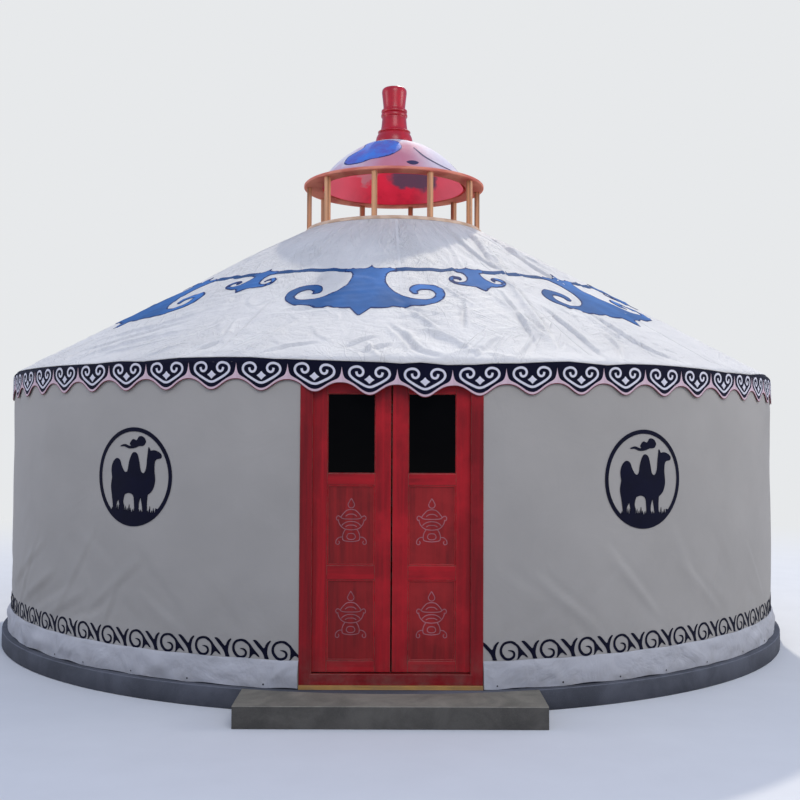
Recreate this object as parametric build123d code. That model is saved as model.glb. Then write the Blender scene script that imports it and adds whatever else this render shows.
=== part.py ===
"""Round tent house (yurt) with a lattice wall, a conical roof, an open lantern under a
small dome, and a pair of panelled doors, standing on its round plinth.

Frame: origin at the centre of the plinth's underside, +Z up, the doors face -Y.
Angles called "turn" are degrees round the wall from the doors, growing towards +X.
Lengths are millimetres.
"""
from build123d import *
from math import asin, degrees, hypot, radians, sin, sqrt
import os

# Wall
wall_radius = 3000          # outside of the felt and canvas
wall_thickness = 25
wall_segments = 6
skirt_height = 150
skirt_spread = 21           # how far the skirt's hem stands off the wall
skirt_top_spread = 6

# Plinth and front step
plinth_margin = 63          # how far the plinth stands out beyond the wall
plinth_height = 120
step_width = 1680
step_reach = 282            # how far the step stands out from the plinth at its middle

# Lattice behind the wall cover
lattice_thickness = 24
lattice_sections = 20
lattice_cells_wide = 3
lattice_cells_high = 6
slat_width = 34
sections_per_node = 5

# Roof
eave_height = 1869          # top of the hanging valance above the plinth
eave_overhang = 10
roof_thickness = 25
roof_gores = 4
roof_rise = 1247            # from the eave to the lantern's foot
seam_turn = 1.5

# Valance
valance_thickness = 4
valance_drop = 190
scallop_depth = 60
scallops = 60
scallop_flat = 0.3          # share of a scallop's width that is flat between two tips
valance_turn = 0.55         # a high point of the scalloped edge
valance_lengths = 4

# Roof poles
pole_side = 36
poles_over_door = 3
pole_end_clearance = 5      # between the poles' feet and the wall cover

# Crown ring and lantern
crown_radius = 720
crown_width = 110
crown_height = 84
lantern_inset = 8           # the posts' centres inside the crown ring's rim
lantern_ring_width = 60
lantern_ring_rise = 32      # how far the foot ring stands above the roof cover
post_side = 44
post_height = 359
posts = 10
post_turn = 23.7
rim_overhang = 45           # the lantern's rim beyond the posts' centres
rim_width = 155
rim_thickness = 24

# Dome over the lantern
dome_edge_inset = 132
dome_top_radius = 155
dome_rise = 372
dome_bulge = 60             # how far the dome's curve stands off its chord
dome_cloth = 6
dome_rib_depth = 24
dome_rib_width = 30
dome_ribs = 10
dome_hub_radius = 150
lining_thickness = 3

# Turned finial: radius and height above its foot, from the foot up
finial_height = 476
finial_foot_radius = 155
finial_foot_rise = 95
finial_step_radius = 149
finial_flare_radius = 134
finial_flare_rise = 127
finial_neck_radius = 101
finial_neck_rise = 216
finial_ring_radius = 111
finial_ring_height = 34
finial_upper_ring_radius = 107
finial_upper_ring_height = 32
finial_waist_radius = 95
finial_waist_rise = 327
finial_cap_radius = 105
finial_cap_edge = 24

# Door frame
frame_width = 1044
frame_depth = 70
frame_setback = 38          # the frame's front face behind the wall's outermost line
jamb_width = 72
stop_thickness = 25
stop_overlap = 12
sill_height = 62
threshold_thickness = 24
threshold_reach = 14        # how far the threshold board stands out in front of the sill
head_lap = 12               # how far the head hangs below the leaves' tops

# Door leaves
running_gap = 5
meeting_gap = 8
leaf_thickness = 40
leaf_top = 1760             # above the plinth
outer_stile = 95
meeting_stile = 91
bottom_rail = 65
lower_panel_height = 456
lock_rail = 82
upper_panel_height = 456
middle_rail = 66
window_height = 456
panel_thickness = 14
panel_recess = 10
pane_thickness = 4
pane_recess = 16

# Hinges, three to a leaf, in two halves that lift apart
hinges = 3
hinge_end_inset = 190
knuckle_radius = 8
knuckle_height = 38
knuckle_gap = 0.5
pin_radius = 4
pin_clearance = 0.05
pivot_setback = 9           # the pin's centre behind the leaf's back face
plate_thickness = 3
plate_width = 42

# Fits
seat_gap = 0.3              # between a curved or sloping face and what it lies on
section_gap = 0.6           # between neighbouring lattice sections

# Sizes that follow from those above
plinth_radius = wall_radius + plinth_margin
floor_z = plinth_height
wall_inner_radius = wall_radius - wall_thickness
lattice_outer_radius = wall_inner_radius - seat_gap
lattice_inner_radius = lattice_outer_radius - lattice_thickness
eave_radius = wall_radius + eave_overhang
eave_z = floor_z + eave_height
lantern_radius = crown_radius - lantern_inset
rim_radius = lantern_radius + rim_overhang
foot_ring_outer = lantern_radius + lantern_ring_width / 2
foot_ring_inner = foot_ring_outer - lantern_ring_width
roof_top_radius = foot_ring_outer + seat_gap
roof_slope = roof_rise / (eave_radius - roof_top_radius)
slope_factor = sqrt(1 + roof_slope ** 2)
roof_drop = roof_thickness * slope_factor
pole_drop = pole_side * slope_factor
frame_half = frame_width / 2
frame_front = wall_radius - frame_setback
frame_back = frame_front - frame_depth
leaf_edge = frame_half - jamb_width + stop_overlap
rebate_half = leaf_edge + running_gap
leaf_inner = meeting_gap / 2
leaf_bottom = threshold_thickness + sill_height + running_gap
pivot_x = leaf_edge + running_gap / 2
pivot_y = pivot_setback - frame_back
pole_foot_radius = wall_inner_radius - pole_end_clearance


def roof_top(radius):
    """Height of the roof cover's outer face."""
    return eave_z + (eave_radius - radius) * roof_slope


def roof_under(radius):
    return roof_top(radius) - roof_drop


def pole_top(radius):
    return roof_under(radius) - seat_gap


def pole_under(radius):
    return pole_top(radius) - pole_drop


crown_top = roof_under(crown_radius) - seat_gap
crown_bottom = crown_top - crown_height
foot_ring_top = roof_top(foot_ring_outer) + lantern_ring_rise
rim_bottom = foot_ring_top + post_height
rim_top = rim_bottom + rim_thickness
dome_edge_radius = rim_radius - dome_edge_inset
dome_top = rim_top + dome_rise
lattice_top = pole_under(lattice_outer_radius) - seat_gap
lattice_start = degrees(asin((frame_half + seat_gap) / lattice_inner_radius))
cell_turn = (360 - 2 * lattice_start) / (lattice_sections * lattice_cells_wide)
wall_start = degrees(asin((frame_half + seat_gap) / wall_inner_radius))


def at_turn(turn, shape):
    """Swing a shape made along +X to its place round the yurt."""
    return Rot(0, 0, turn - 90) * shape


def block(x0, x1, y0, y1, z0, z1):
    centre = Pos((x0 + x1) / 2, (y0 + y1) / 2, (z0 + z1) / 2)
    return centre * Box(abs(x1 - x0), abs(y1 - y0), abs(z1 - z0))


def upright(radius, z0, z1):
    return Pos(0, 0, z0) * Cylinder(radius, z1 - z0, align=(Align.CENTER, Align.CENTER, Align.MIN))


def turned(points, start=0, sweep=360):
    """Turn a profile of (radius, height) corners about the upright axis."""
    profile = make_face(Polyline(*[(r, 0, z) for r, z in points], close=True))
    return at_turn(start, revolve(profile, Axis.Z, sweep))


def curved_wall(r_in, r_out, z0, z1, start=0, sweep=360):
    return turned([(r_in, z0), (r_out, z0), (r_out, z1), (r_in, z1)], start, sweep)


def mirrored(shape):
    return mirror(shape, Plane.YZ)


def plinth():
    return upright(plinth_radius, 0, plinth_height)


def front_step():
    front = plinth_radius + step_reach
    slab = block(-step_width / 2, step_width / 2, -front, 0, 0, plinth_height)
    return slab - upright(plinth_radius + seat_gap, -1, plinth_height + 1)


def beside_frame(shape):
    """Trim what meets the door frame back to its side faces."""
    half = frame_half + seat_gap
    return shape - block(-half, half, -2 * wall_radius, 0, -1, 2 * eave_z)


def wall_cover_segments():
    """Felt and canvas from jamb to jamb, the long way round."""
    top = roof_under(wall_radius) - seat_gap
    sweep = (360 - 2 * wall_start) / wall_segments
    made = []
    for i in range(wall_segments):
        start = wall_start + i * sweep
        made.append(beside_frame(curved_wall(wall_inner_radius, wall_radius, floor_z, top, start, sweep)))
    return made


def skirt_side():
    inner = wall_radius + seat_gap
    points = [
        (inner, floor_z),
        (wall_radius + skirt_spread, floor_z),
        (wall_radius + skirt_top_spread, floor_z + skirt_height),
        (inner, floor_z + skirt_height),
    ]
    return beside_frame(turned(points, wall_start, 180 - wall_start))


def lattice_section():
    """Crossed slats fused where they are pegged, as one bent panel that starts at turn 0."""
    mean = (lattice_inner_radius + lattice_outer_radius) / 2
    sweep = cell_turn * lattice_cells_wide - degrees(section_gap / mean)
    height = lattice_top - floor_z
    panel = curved_wall(lattice_inner_radius, lattice_outer_radius, floor_z, lattice_top, 0, sweep)
    half_wide = mean * radians(cell_turn) / 2
    half_high = height / lattice_cells_high / 2
    to_side = half_wide * half_high / hypot(half_wide, half_high)
    shrink = (to_side - slat_width / 2) / to_side
    gap = Plane.YZ * Polygon(
        (-half_wide * shrink, 0),
        (0, -half_high * shrink),
        (half_wide * shrink, 0),
        (0, half_high * shrink),
        align=None,
    )
    punch = Pos(mean, 0, 0) * extrude(gap, lattice_thickness * 2, both=True)
    gaps = []
    for across in range(2 * lattice_cells_wide + 1):
        for up in range(2 * lattice_cells_high + 1):
            if (across + up) % 2:
                lifted = Pos(0, 0, floor_z + up * half_high) * punch
                gaps.append(at_turn(across * cell_turn / 2, lifted))
    return panel - gaps


def lattice_nodes():
    section = lattice_section()
    turns = [lattice_start + i * cell_turn * lattice_cells_wide for i in range(lattice_sections)]
    placed = [Rot(0, 0, turn) * section for turn in turns]
    return [placed[i:i + sections_per_node] for i in range(0, lattice_sections, sections_per_node)]


def roof_gore(index):
    points = [
        (eave_radius, roof_under(eave_radius)),
        (eave_radius, eave_z),
        (roof_top_radius, roof_top(roof_top_radius)),
        (roof_top_radius, roof_under(roof_top_radius)),
    ]
    sweep = 360 / roof_gores
    return turned(points, seam_turn + index * sweep, sweep)


def valance_length(index):
    """A hanging band whose lower edge runs in shallow scallops."""
    inner = eave_radius + seat_gap
    outer = inner + valance_thickness
    sweep = 360 / valance_lengths
    tip_z = eave_z - valance_drop
    band = curved_wall(inner, outer, tip_z, eave_z, 0, sweep)
    pitch = 360 / scallops
    half = outer * sin(radians(pitch / 2))
    low = -valance_thickness
    notch = Plane.YZ * Polygon(
        (-half, low),
        (-half, 0),
        (-half * scallop_flat, scallop_depth),
        (half * scallop_flat, scallop_depth),
        (half, 0),
        (half, low),
        align=None,
    )
    punch = Pos(inner, 0, tip_z) * extrude(notch, valance_thickness * 4, both=True)
    count = round(sweep / pitch)
    cut = band - [at_turn(i * pitch, punch) for i in range(count + 1)]
    return Rot(0, 0, valance_turn + index * sweep) * cut


def roof_pole():
    """One square pole along +X, from the crown ring to the wall's head."""
    upper = crown_radius + seat_gap
    lower = pole_foot_radius
    side = Plane.XZ * Polygon(
        (upper, pole_under(upper)),
        (lower, pole_under(lower)),
        (lower, pole_top(lower)),
        (upper, pole_top(upper)),
        align=None,
    )
    return extrude(side, pole_side / 2, both=True)


def pole_turns():
    """A pole on every fork of the lattice, and a few over the door's head."""
    forks = lattice_sections * lattice_cells_wide
    turns = [lattice_start + cell_turn * i for i in range(forks + 1)]
    spread = 2 * lattice_start / (poles_over_door + 1)
    turns += [-lattice_start + spread * (i + 1) for i in range(poles_over_door)]
    return turns


def roof_pole_halves():
    """The poles of the right half, with the one over the door's middle, and of the left half."""
    pole = roof_pole()
    halves = [[], []]
    for turn in pole_turns():
        halves[int((turn % 360) // 180)].append(at_turn(turn, pole))
    return halves


def crown_ring():
    return curved_wall(crown_radius - crown_width, crown_radius, crown_bottom, crown_top)


def lantern_foot_ring():
    return curved_wall(foot_ring_inner, foot_ring_outer, crown_top, foot_ring_top)


def lantern_posts():
    post = block(
        lantern_radius - post_side / 2, lantern_radius + post_side / 2,
        -post_side / 2, post_side / 2, foot_ring_top, rim_bottom,
    )
    return [at_turn(post_turn + i * 360 / posts, post) for i in range(posts)]


def lantern_rim():
    return curved_wall(rim_radius - rim_width, rim_radius, rim_bottom, rim_top)


def dome_layer(above, thickness):
    """A layer of the dome: `above` is how far its outer face lies inside the cloth's."""
    run = dome_edge_radius - dome_top_radius
    chord = hypot(run, dome_rise)
    out = Vector(dome_rise / chord, 0, run / chord)
    top = Vector(dome_top_radius, 0, dome_top)
    edge = Vector(dome_edge_radius, 0, rim_top)
    middle = (top + edge) * 0.5 + out * dome_bulge
    inward = out * -above
    deeper = out * -(above + thickness)
    lift = Vector(0, 0, -above)
    outer = ThreePointArc(top + lift, middle + inward, edge + Vector(-above * slant_to_flat(), 0, 0))
    low = Vector(0, 0, -above - thickness)
    inner_edge = edge + Vector(-(above + thickness) * slant_to_flat(), 0, 0)
    inner = ThreePointArc(top + low, middle + deeper, inner_edge)
    axis_top = Vector(0, 0, dome_top - above)
    axis_low = Vector(0, 0, dome_top - above - thickness)
    outline = [
        outer,
        Line(outer @ 1, inner @ 1),
        inner,
        Line(inner @ 0, axis_low),
        Line(axis_low, axis_top),
        Line(axis_top, outer @ 0),
    ]
    return revolve(make_face(outline), Axis.Z, 360)


def slant_to_flat():
    """Width on the level of a unit of thickness at the dome's edge."""
    run = dome_edge_radius - dome_top_radius
    return hypot(run, dome_rise) / dome_rise


def dome_cover():
    return dome_layer(0, dome_cloth)


def dome_frame():
    """Bent ribs under the cloth, joined by a hub below the finial."""
    layer = dome_layer(dome_cloth + seat_gap, dome_rib_depth)
    rib = block(0, rim_radius, -dome_rib_width / 2, dome_rib_width / 2, rim_top, dome_top)
    turns = [post_turn + i * 360 / dome_ribs for i in range(dome_ribs)]
    kept = upright(dome_hub_radius, rim_top, dome_top)
    for turn in turns:
        kept = kept + at_turn(turn, rib)
    return layer & kept


def dome_lining():
    return dome_layer(dome_cloth + dome_rib_depth + 2 * seat_gap, lining_thickness)


def finial():
    """Turned wooden knob: a stepped foot, a waisted stem with two rings, and a rounded cap."""
    lower_ring = finial_neck_rise + finial_ring_height
    upper_ring = lower_ring + finial_upper_ring_height
    points = [
        (0, 0),
        (finial_foot_radius, 0),
        (finial_step_radius, finial_foot_rise),
        (finial_flare_radius, finial_foot_rise),
        ((finial_flare_radius + finial_neck_radius) / 2, (finial_flare_rise + finial_neck_rise) / 2),
        (finial_neck_radius, finial_neck_rise),
        (finial_ring_radius, finial_neck_rise),
        (finial_ring_radius, lower_ring),
        (finial_neck_radius, lower_ring),
        (finial_upper_ring_radius, lower_ring),
        (finial_upper_ring_radius, upper_ring),
        (finial_waist_radius, upper_ring),
        (finial_waist_radius, finial_waist_rise),
        (finial_cap_radius, finial_height - finial_cap_edge),
        (finial_cap_radius - finial_cap_edge, finial_height),
        (0, finial_height),
    ]
    return turned([(r, dome_top + z) for r, z in points])


def jamb():
    """Right-hand post of the door frame, with the stop that the leaf closes against."""
    bottom = floor_z + threshold_thickness
    top = floor_z + leaf_top + running_gap
    body = block(rebate_half, frame_half, -frame_front, -frame_back, bottom, top)
    stop = block(
        frame_half - jamb_width, rebate_half, -frame_front, stop_thickness - frame_front,
        bottom + sill_height, top - running_gap - head_lap,
    )
    return body + stop


def door_head():
    """Top member of the frame: it bears the poles over the door."""
    bottom = floor_z + leaf_top + running_gap
    top = pole_under(hypot(frame_front, frame_half)) - seat_gap
    beam = block(-frame_half, frame_half, -frame_front, -frame_back, bottom, top)
    stop = block(
        -rebate_half, rebate_half, -frame_front, stop_thickness - frame_front,
        bottom - running_gap - head_lap, bottom,
    )
    return beam + stop


def door_sill():
    bottom = floor_z + threshold_thickness
    return block(-rebate_half, rebate_half, -frame_front, -frame_back, bottom, bottom + sill_height)


def threshold_board():
    front = -frame_front - threshold_reach
    return block(-frame_half, frame_half, front, -frame_back, floor_z, floor_z + threshold_thickness)


def leaf_openings():
    """Lowest and highest edges of the two panels and the window, from the floor."""
    lower = leaf_bottom + bottom_rail
    upper = lower + lower_panel_height + lock_rail
    window = upper + upper_panel_height + middle_rail
    return (
        (lower, lower + lower_panel_height),
        (upper, upper + upper_panel_height),
        (window, window + window_height),
    )


def door_leaf():
    """Right-hand leaf: stiles and rails, open where the panels and the pane go."""
    front = running_gap + stop_thickness - frame_front
    back = front + leaf_thickness
    leaf = block(leaf_inner, leaf_edge, front, back, floor_z + leaf_bottom, floor_z + leaf_top)
    for low, high in leaf_openings():
        leaf = leaf - block(
            leaf_inner + meeting_stile, leaf_edge - outer_stile, front - 1, back + 1,
            floor_z + low, floor_z + high,
        )
    return leaf


def leaf_infill(opening, recess, thickness):
    """A board or pane that fills one opening of the right-hand leaf."""
    low, high = opening
    front = running_gap + stop_thickness + recess - frame_front
    return block(
        leaf_inner + meeting_stile, leaf_edge - outer_stile, front, front + thickness,
        floor_z + low, floor_z + high,
    )


def leaf_panels():
    return [leaf_infill(opening, panel_recess, panel_thickness) for opening in leaf_openings()[:2]]


def leaf_pane():
    return leaf_infill(leaf_openings()[2], pane_recess, pane_thickness)


def hinge_heights():
    low = floor_z + leaf_bottom + hinge_end_inset
    high = floor_z + leaf_top - hinge_end_inset - 2 * knuckle_height
    return [low + (high - low) * i / (hinges - 1) for i in range(hinges)]


def hinge_frame_half(z):
    """Lower half, on the jamb, with the pin."""
    back = -frame_back
    plate = block(pivot_x, rebate_half + plate_width, back, back + plate_thickness, z, z + knuckle_height)
    pin_top = z + 2 * knuckle_height + knuckle_gap
    at_pivot = Pos(pivot_x, pivot_y, 0)
    return plate + at_pivot * upright(knuckle_radius, z, z + knuckle_height) \
        + at_pivot * upright(pin_radius, z, pin_top)


def hinge_leaf_half(z):
    """Upper half, on the leaf, that drops over the pin."""
    back = -frame_back
    low = z + knuckle_height + knuckle_gap
    high = low + knuckle_height
    plate = block(leaf_edge - plate_width, pivot_x, back, back + plate_thickness, low, high)
    at_pivot = Pos(pivot_x, pivot_y, 0)
    knuckle = plate + at_pivot * upright(knuckle_radius, low, high)
    return knuckle - at_pivot * upright(pin_radius + pin_clearance, low - 1, high + 1)


def save(name, shapes):
    """Write one node, made of one solid or of several that don't touch."""
    solids = shapes if isinstance(shapes, list) else [shapes]
    export_step(solids[0] if len(solids) == 1 else Compound(children=solids), f"parts/{name}.step")


def build():
    os.makedirs("parts", exist_ok=True)
    save("plinth", plinth())
    save("front_step", front_step())

    for i, segment in enumerate(wall_cover_segments()):
        save(f"wall_cover_{i + 1}", segment)
    skirt = skirt_side()
    save("skirt_right", skirt)
    save("skirt_left", mirrored(skirt))
    for i, sections in enumerate(lattice_nodes()):
        save(f"wall_lattice_{i + 1}", sections)

    for i in range(roof_gores):
        save(f"roof_cover_{i + 1}", roof_gore(i))
    for i in range(valance_lengths):
        save(f"valance_{i + 1}", valance_length(i))
    for side, poles in zip(("right", "left"), roof_pole_halves()):
        save(f"roof_poles_{side}", poles)

    save("crown_ring", crown_ring())
    save("lantern_foot_ring", lantern_foot_ring())
    save("lantern_posts", lantern_posts())
    save("lantern_rim", lantern_rim())
    save("dome_cover", dome_cover())
    save("dome_frame", dome_frame())
    save("dome_lining", dome_lining())
    save("finial", finial())

    save("threshold_board", threshold_board())
    save("door_sill", door_sill())
    save("door_head", door_head())
    heights = hinge_heights()
    on_frame = [hinge_frame_half(z) for z in heights]
    save("hinge_frame_halves", on_frame + [mirrored(half) for half in on_frame])
    pieces = {
        "jamb": jamb(),
        "leaf": door_leaf(),
        "leaf_panels": leaf_panels(),
        "leaf_pane": leaf_pane(),
        "hinge_leaf_halves": [hinge_leaf_half(z) for z in heights],
    }
    for name, shape in pieces.items():
        save(f"right_{name}", shape)
        flipped = [mirrored(s) for s in shape] if isinstance(shape, list) else mirrored(shape)
        save(f"left_{name}", flipped)
    print("hinge axis x", pivot_x, "y", pivot_y, "leaf from", floor_z + leaf_bottom)
    print("lattice starts at turn", lattice_start, "cell", cell_turn, "top", lattice_top)
    print("roof slope", roof_slope, "crown", crown_bottom, crown_top, "rim", rim_bottom, "dome top", dome_top)


build()
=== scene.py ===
import math

import bmesh
import bpy
import numpy as np
from mathutils import Matrix, Vector
from mathutils.geometry import delaunay_2d_cdt


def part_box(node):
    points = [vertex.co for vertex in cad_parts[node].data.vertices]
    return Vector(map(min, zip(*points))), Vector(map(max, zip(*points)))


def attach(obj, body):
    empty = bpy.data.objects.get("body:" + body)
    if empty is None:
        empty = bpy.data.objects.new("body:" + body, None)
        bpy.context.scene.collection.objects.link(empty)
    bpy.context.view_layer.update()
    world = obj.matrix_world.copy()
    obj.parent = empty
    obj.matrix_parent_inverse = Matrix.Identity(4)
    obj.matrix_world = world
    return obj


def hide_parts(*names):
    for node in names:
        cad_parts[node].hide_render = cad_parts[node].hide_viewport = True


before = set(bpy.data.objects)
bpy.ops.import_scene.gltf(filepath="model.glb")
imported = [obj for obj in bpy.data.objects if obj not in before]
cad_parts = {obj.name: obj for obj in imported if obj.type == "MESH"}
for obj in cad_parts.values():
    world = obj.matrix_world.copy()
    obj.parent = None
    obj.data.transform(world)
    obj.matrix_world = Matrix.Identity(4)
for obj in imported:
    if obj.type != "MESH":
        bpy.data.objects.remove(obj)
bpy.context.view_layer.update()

bl_info = {
    "name": "Yurt",
    "version": (1, 0, 0),
    "blender": (4, 5, 0),
    "location": "View3D > Sidebar > Yurt",
    "description": "Dresses the packed yurt: canvas, drawn patterns, doors, lantern and base",
    "category": "Object",
}

# Sizes in metres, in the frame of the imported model. Turns are measured round the upright axis from the
# doors (-Y) towards +X.
FLOOR_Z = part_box("plinth")[1][2]                   # top of the plinth
WALL_R = 3.000                                     # outside of the wall's canvas
WALL_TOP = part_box("wall_cover_1")[1][2]
DOOR_HALF = 0.5223                                 # from the middle to the wall's end at the doors
DOOR_TURN = math.asin(DOOR_HALF / WALL_R)
SKIRT_TOP = FLOOR_Z + 0.158
BAND_PITCH, BAND_MIDDLE = 0.2406, 0.123            # one unit of the scroll band
EAVE_R, EAVE_Z = 3.010, 1.989
ROOF_FALL = 0.549896                               # the roof's drop for each metre outwards
ROOF_IN_R = 0.7423                                 # where the roof meets the lantern
ROOF_SLANT = math.hypot(1, ROOF_FALL)
CANVAS_LIFT = 0.014                                # how far the roof's felt lies under the canvas
# The cloth's section over the eave: distance from the axis and height.
EAVE_LINE = [(2.900, 2.0495), (2.935, 2.0303), (2.970, 2.0110), (2.990, 1.9985), (3.001, 1.9885), (3.0065, 1.9765),
             (3.0075, 1.960), (3.0075, 1.940)]
VALANCE_R = 3.0060
VALANCE_TURN = math.radians(-2.45)                 # middle of the scallop over the doors
SCALLOPS = 60
SCALLOP_R = 3.012                                  # where the drawing of a scallop keeps its width
SEAM_TURN = math.radians(1.5)
SEAMS = 16
# The cloud figures: the big one and the small one take turns, and the ring line runs between them.
MOTIF_TURNS = np.radians([-5, 17.5, 43.3, 64.5, 85, 107.5, 130, 152.5, 175, 197.5, 219, 240.5, 262, 283, 306,
                          328.8, 355])
RING_LINE_R = 1.737
FIGURE_HALVES = (0.170, 0.098)                     # from a figure's middle to the ring line's end
MAP_R, RIBBON_MAP_R = 3.0, 1.7                     # radii at which a map round the axis has its true scale
PLATE_SINK = 0.0006                                # how deep a sewn-on figure's edge goes into its ground
DOME_EDGE_R, DOME_BULGE = 0.625, 0.060
POSTS, POST_TURN = 10, math.radians(23.7)          # of the lantern, with a dome rib over each
FOOT_RING, RIM = (0.682, 0.742), (0.602, 0.757)    # the lantern's rings: inner and outer radius
POST_HALF, POST_R = 0.0195, 0.712

# Spans of the doors' boards across (from the middle), back and up.
OPENING = (0.095, 0.367)
PANELS, WINDOW = ((0.276, 0.732), (0.814, 1.270)), (1.336, 1.792)
FRAME_Y, STOP_Y, LEAF_Y = (-2.962, -2.892), (-2.9615, -2.937), (-2.932, -2.892)
PANEL_Y, PANE_Y = (-2.922, -2.908), (-2.916, -2.912)

# Name, place, what it points at, size, power and colour.
LAMPS = [("lamp_high", (5.0, 22.3, 26.8), (0, 0, 2.4), 1.1, 7000, (1.0, 0.94, 0.82)),
         ("lamp_front", (1.5, -10.0, 8.0), (0, -1.2, 1.8), 6.0, 330, (1.0, 0.97, 0.93)),
         ("lamp_right", (11.0, -2.0, 4.5), (0, 0, 1.5), 4.0, 270, (1.0, 0.98, 0.95)),
         ("lamp_left", (-11.0, -2.0, 4.5), (0, 0, 1.5), 4.0, 170, (1.0, 0.98, 0.97))]
SKY_LIGHT, BACKDROP = (0.37, 0.45, 0.66), (0.80, 0.815, 0.83)

# Turn in degrees, how far the roof's hem lies along the cloth that goes over the eave, and how much lower than
# elsewhere the valance hangs.
HEM_PLACES = [(-180, 0.079), (-80, 0.079), (-61, 0.103), (-44, 0.112), (-38, 0.116), (-34, 0.104), (-30, 0.117),
              (-25, 0.090), (-20, 0.092), (-16, 0.101), (-13, 0.119), (-10, 0.125), (-7, 0.131), (-4, 0.136),
              (-1, 0.141), (1, 0.148), (3, 0.141), (6, 0.154), (9, 0.150), (11, 0.141), (14, 0.138), (17, 0.127),
              (20, 0.119), (23, 0.128), (25, 0.134), (28, 0.121), (32, 0.117), (36, 0.120), (41, 0.126), (46, 0.135),
              (54, 0.131), (66, 0.088), (80, 0.079), (180, 0.079)]
VALANCE_SAG = [(-180, 0.0), (-90, 0.0), (-75, -0.005), (-58, -0.008), (-50, -0.015), (-33, -0.017), (-20.5, -0.016),
               (-14.5, -0.007), (-8.5, 0.0), (-5.6, 0.015), (-2.7, 0.019), (0.3, 0.027), (3.4, 0.030), (6.3, 0.031),
               (9.6, 0.019), (12.4, 0.018), (15.5, 0.009), (21, 0.005), (27, 0.0), (180, 0.0)]
TAU = 2 * math.pi


# ---------------------------------------------------------------- properties

def colour(name, about, value):
    return bpy.props.FloatVectorProperty(name=name, description=about, subtype="COLOR", size=3, min=0, max=1,
                                         default=value)


def length(name, about, value):
    return bpy.props.FloatProperty(name=name, description=about, subtype="DISTANCE", unit="LENGTH", min=0.0, max=0.1,
                                   default=value, precision=4)


class YurtSizes(bpy.types.PropertyGroup):
    crease: length("Creases", "How deep the roof canvas is creased", 0.0105)
    wall_fold: length("Wall folds", "How deep the wall canvas folds", 0.0085)
    skirt_fold: length("Skirt folds", "How far the skirt bulges between its tacks", 0.021)
    applique: length("Applique", "Thickness of the sewn-on figures", 0.0032)
    piping: length("Piping", "Radius of the cord along the scallops", 0.0030)
    scroll_line: length("Scroll line", "Width of the white line on the valance", 0.0136)
    rounding: length("Rounding", "Radius along the edges of the boards", 0.003)


class YurtColours(bpy.types.PropertyGroup):
    roof: colour("Roof canvas", "Canvas of the roof", (0.80, 0.775, 0.735))
    # Painted shade: the wall canvas is written much greyer than the roof canvas, for the shade that the wall lies in.
    wall: colour("Wall canvas", "Canvas of the wall", (0.470, 0.443, 0.405))
    skirt: colour("Skirt", "Canvas at the foot of the wall", (0.575, 0.57, 0.585))
    blue: colour("Blue", "Cloud figures of the roof and the dome", (0.060, 0.225, 0.60))
    navy: colour("Navy", "Ground of the valance, band and medallions", (0.004, 0.0045, 0.020))
    line: colour("White line", "Scrolls of the valance", (0.80, 0.78, 0.84))
    border: colour("Border", "Strip along the scallops", (0.80, 0.585, 0.645))
    piping: colour("Piping", "Cord along the scallops", (0.22, 0.04, 0.05))
    door: colour("Door paint", "Frame and leaves of the doors", (0.45, 0.005, 0.012))
    panel: colour("Panel paint", "Panels of the doors", (0.33, 0.012, 0.013))
    ornament: colour("Ornament", "Lines drawn on the door panels", (0.42, 0.16, 0.18))
    lacquer: colour("Lacquer", "Finial", (0.62, 0.006, 0.022))
    lining: colour("Lining", "Cloth under the dome", (0.80, 0.035, 0.085))
    wood: colour("Lantern wood", "Posts and foot ring of the lantern", (0.74, 0.37, 0.18))
    board: colour("Ochre board", "Board under the doors", (0.62, 0.33, 0.09))
    stone: colour("Plinth", "Side and top of the plinth", (0.088, 0.092, 0.108))
    step: colour("Step", "Front step", (0.102, 0.0945, 0.081))


# ---------------------------------------------------------------- shader nodes

FLOAT, VECTOR = "NodeSocketFloat", "NodeSocketVector"
LEVELS = {"shine": "Specular IOR Level", "sheen": "Sheen Weight", "coat": "Coat Weight",
          "coat_rough": "Coat Roughness", "metal": "Metallic", "glow": "Emission Color", "glow_by": "Emission Strength"}


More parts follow.
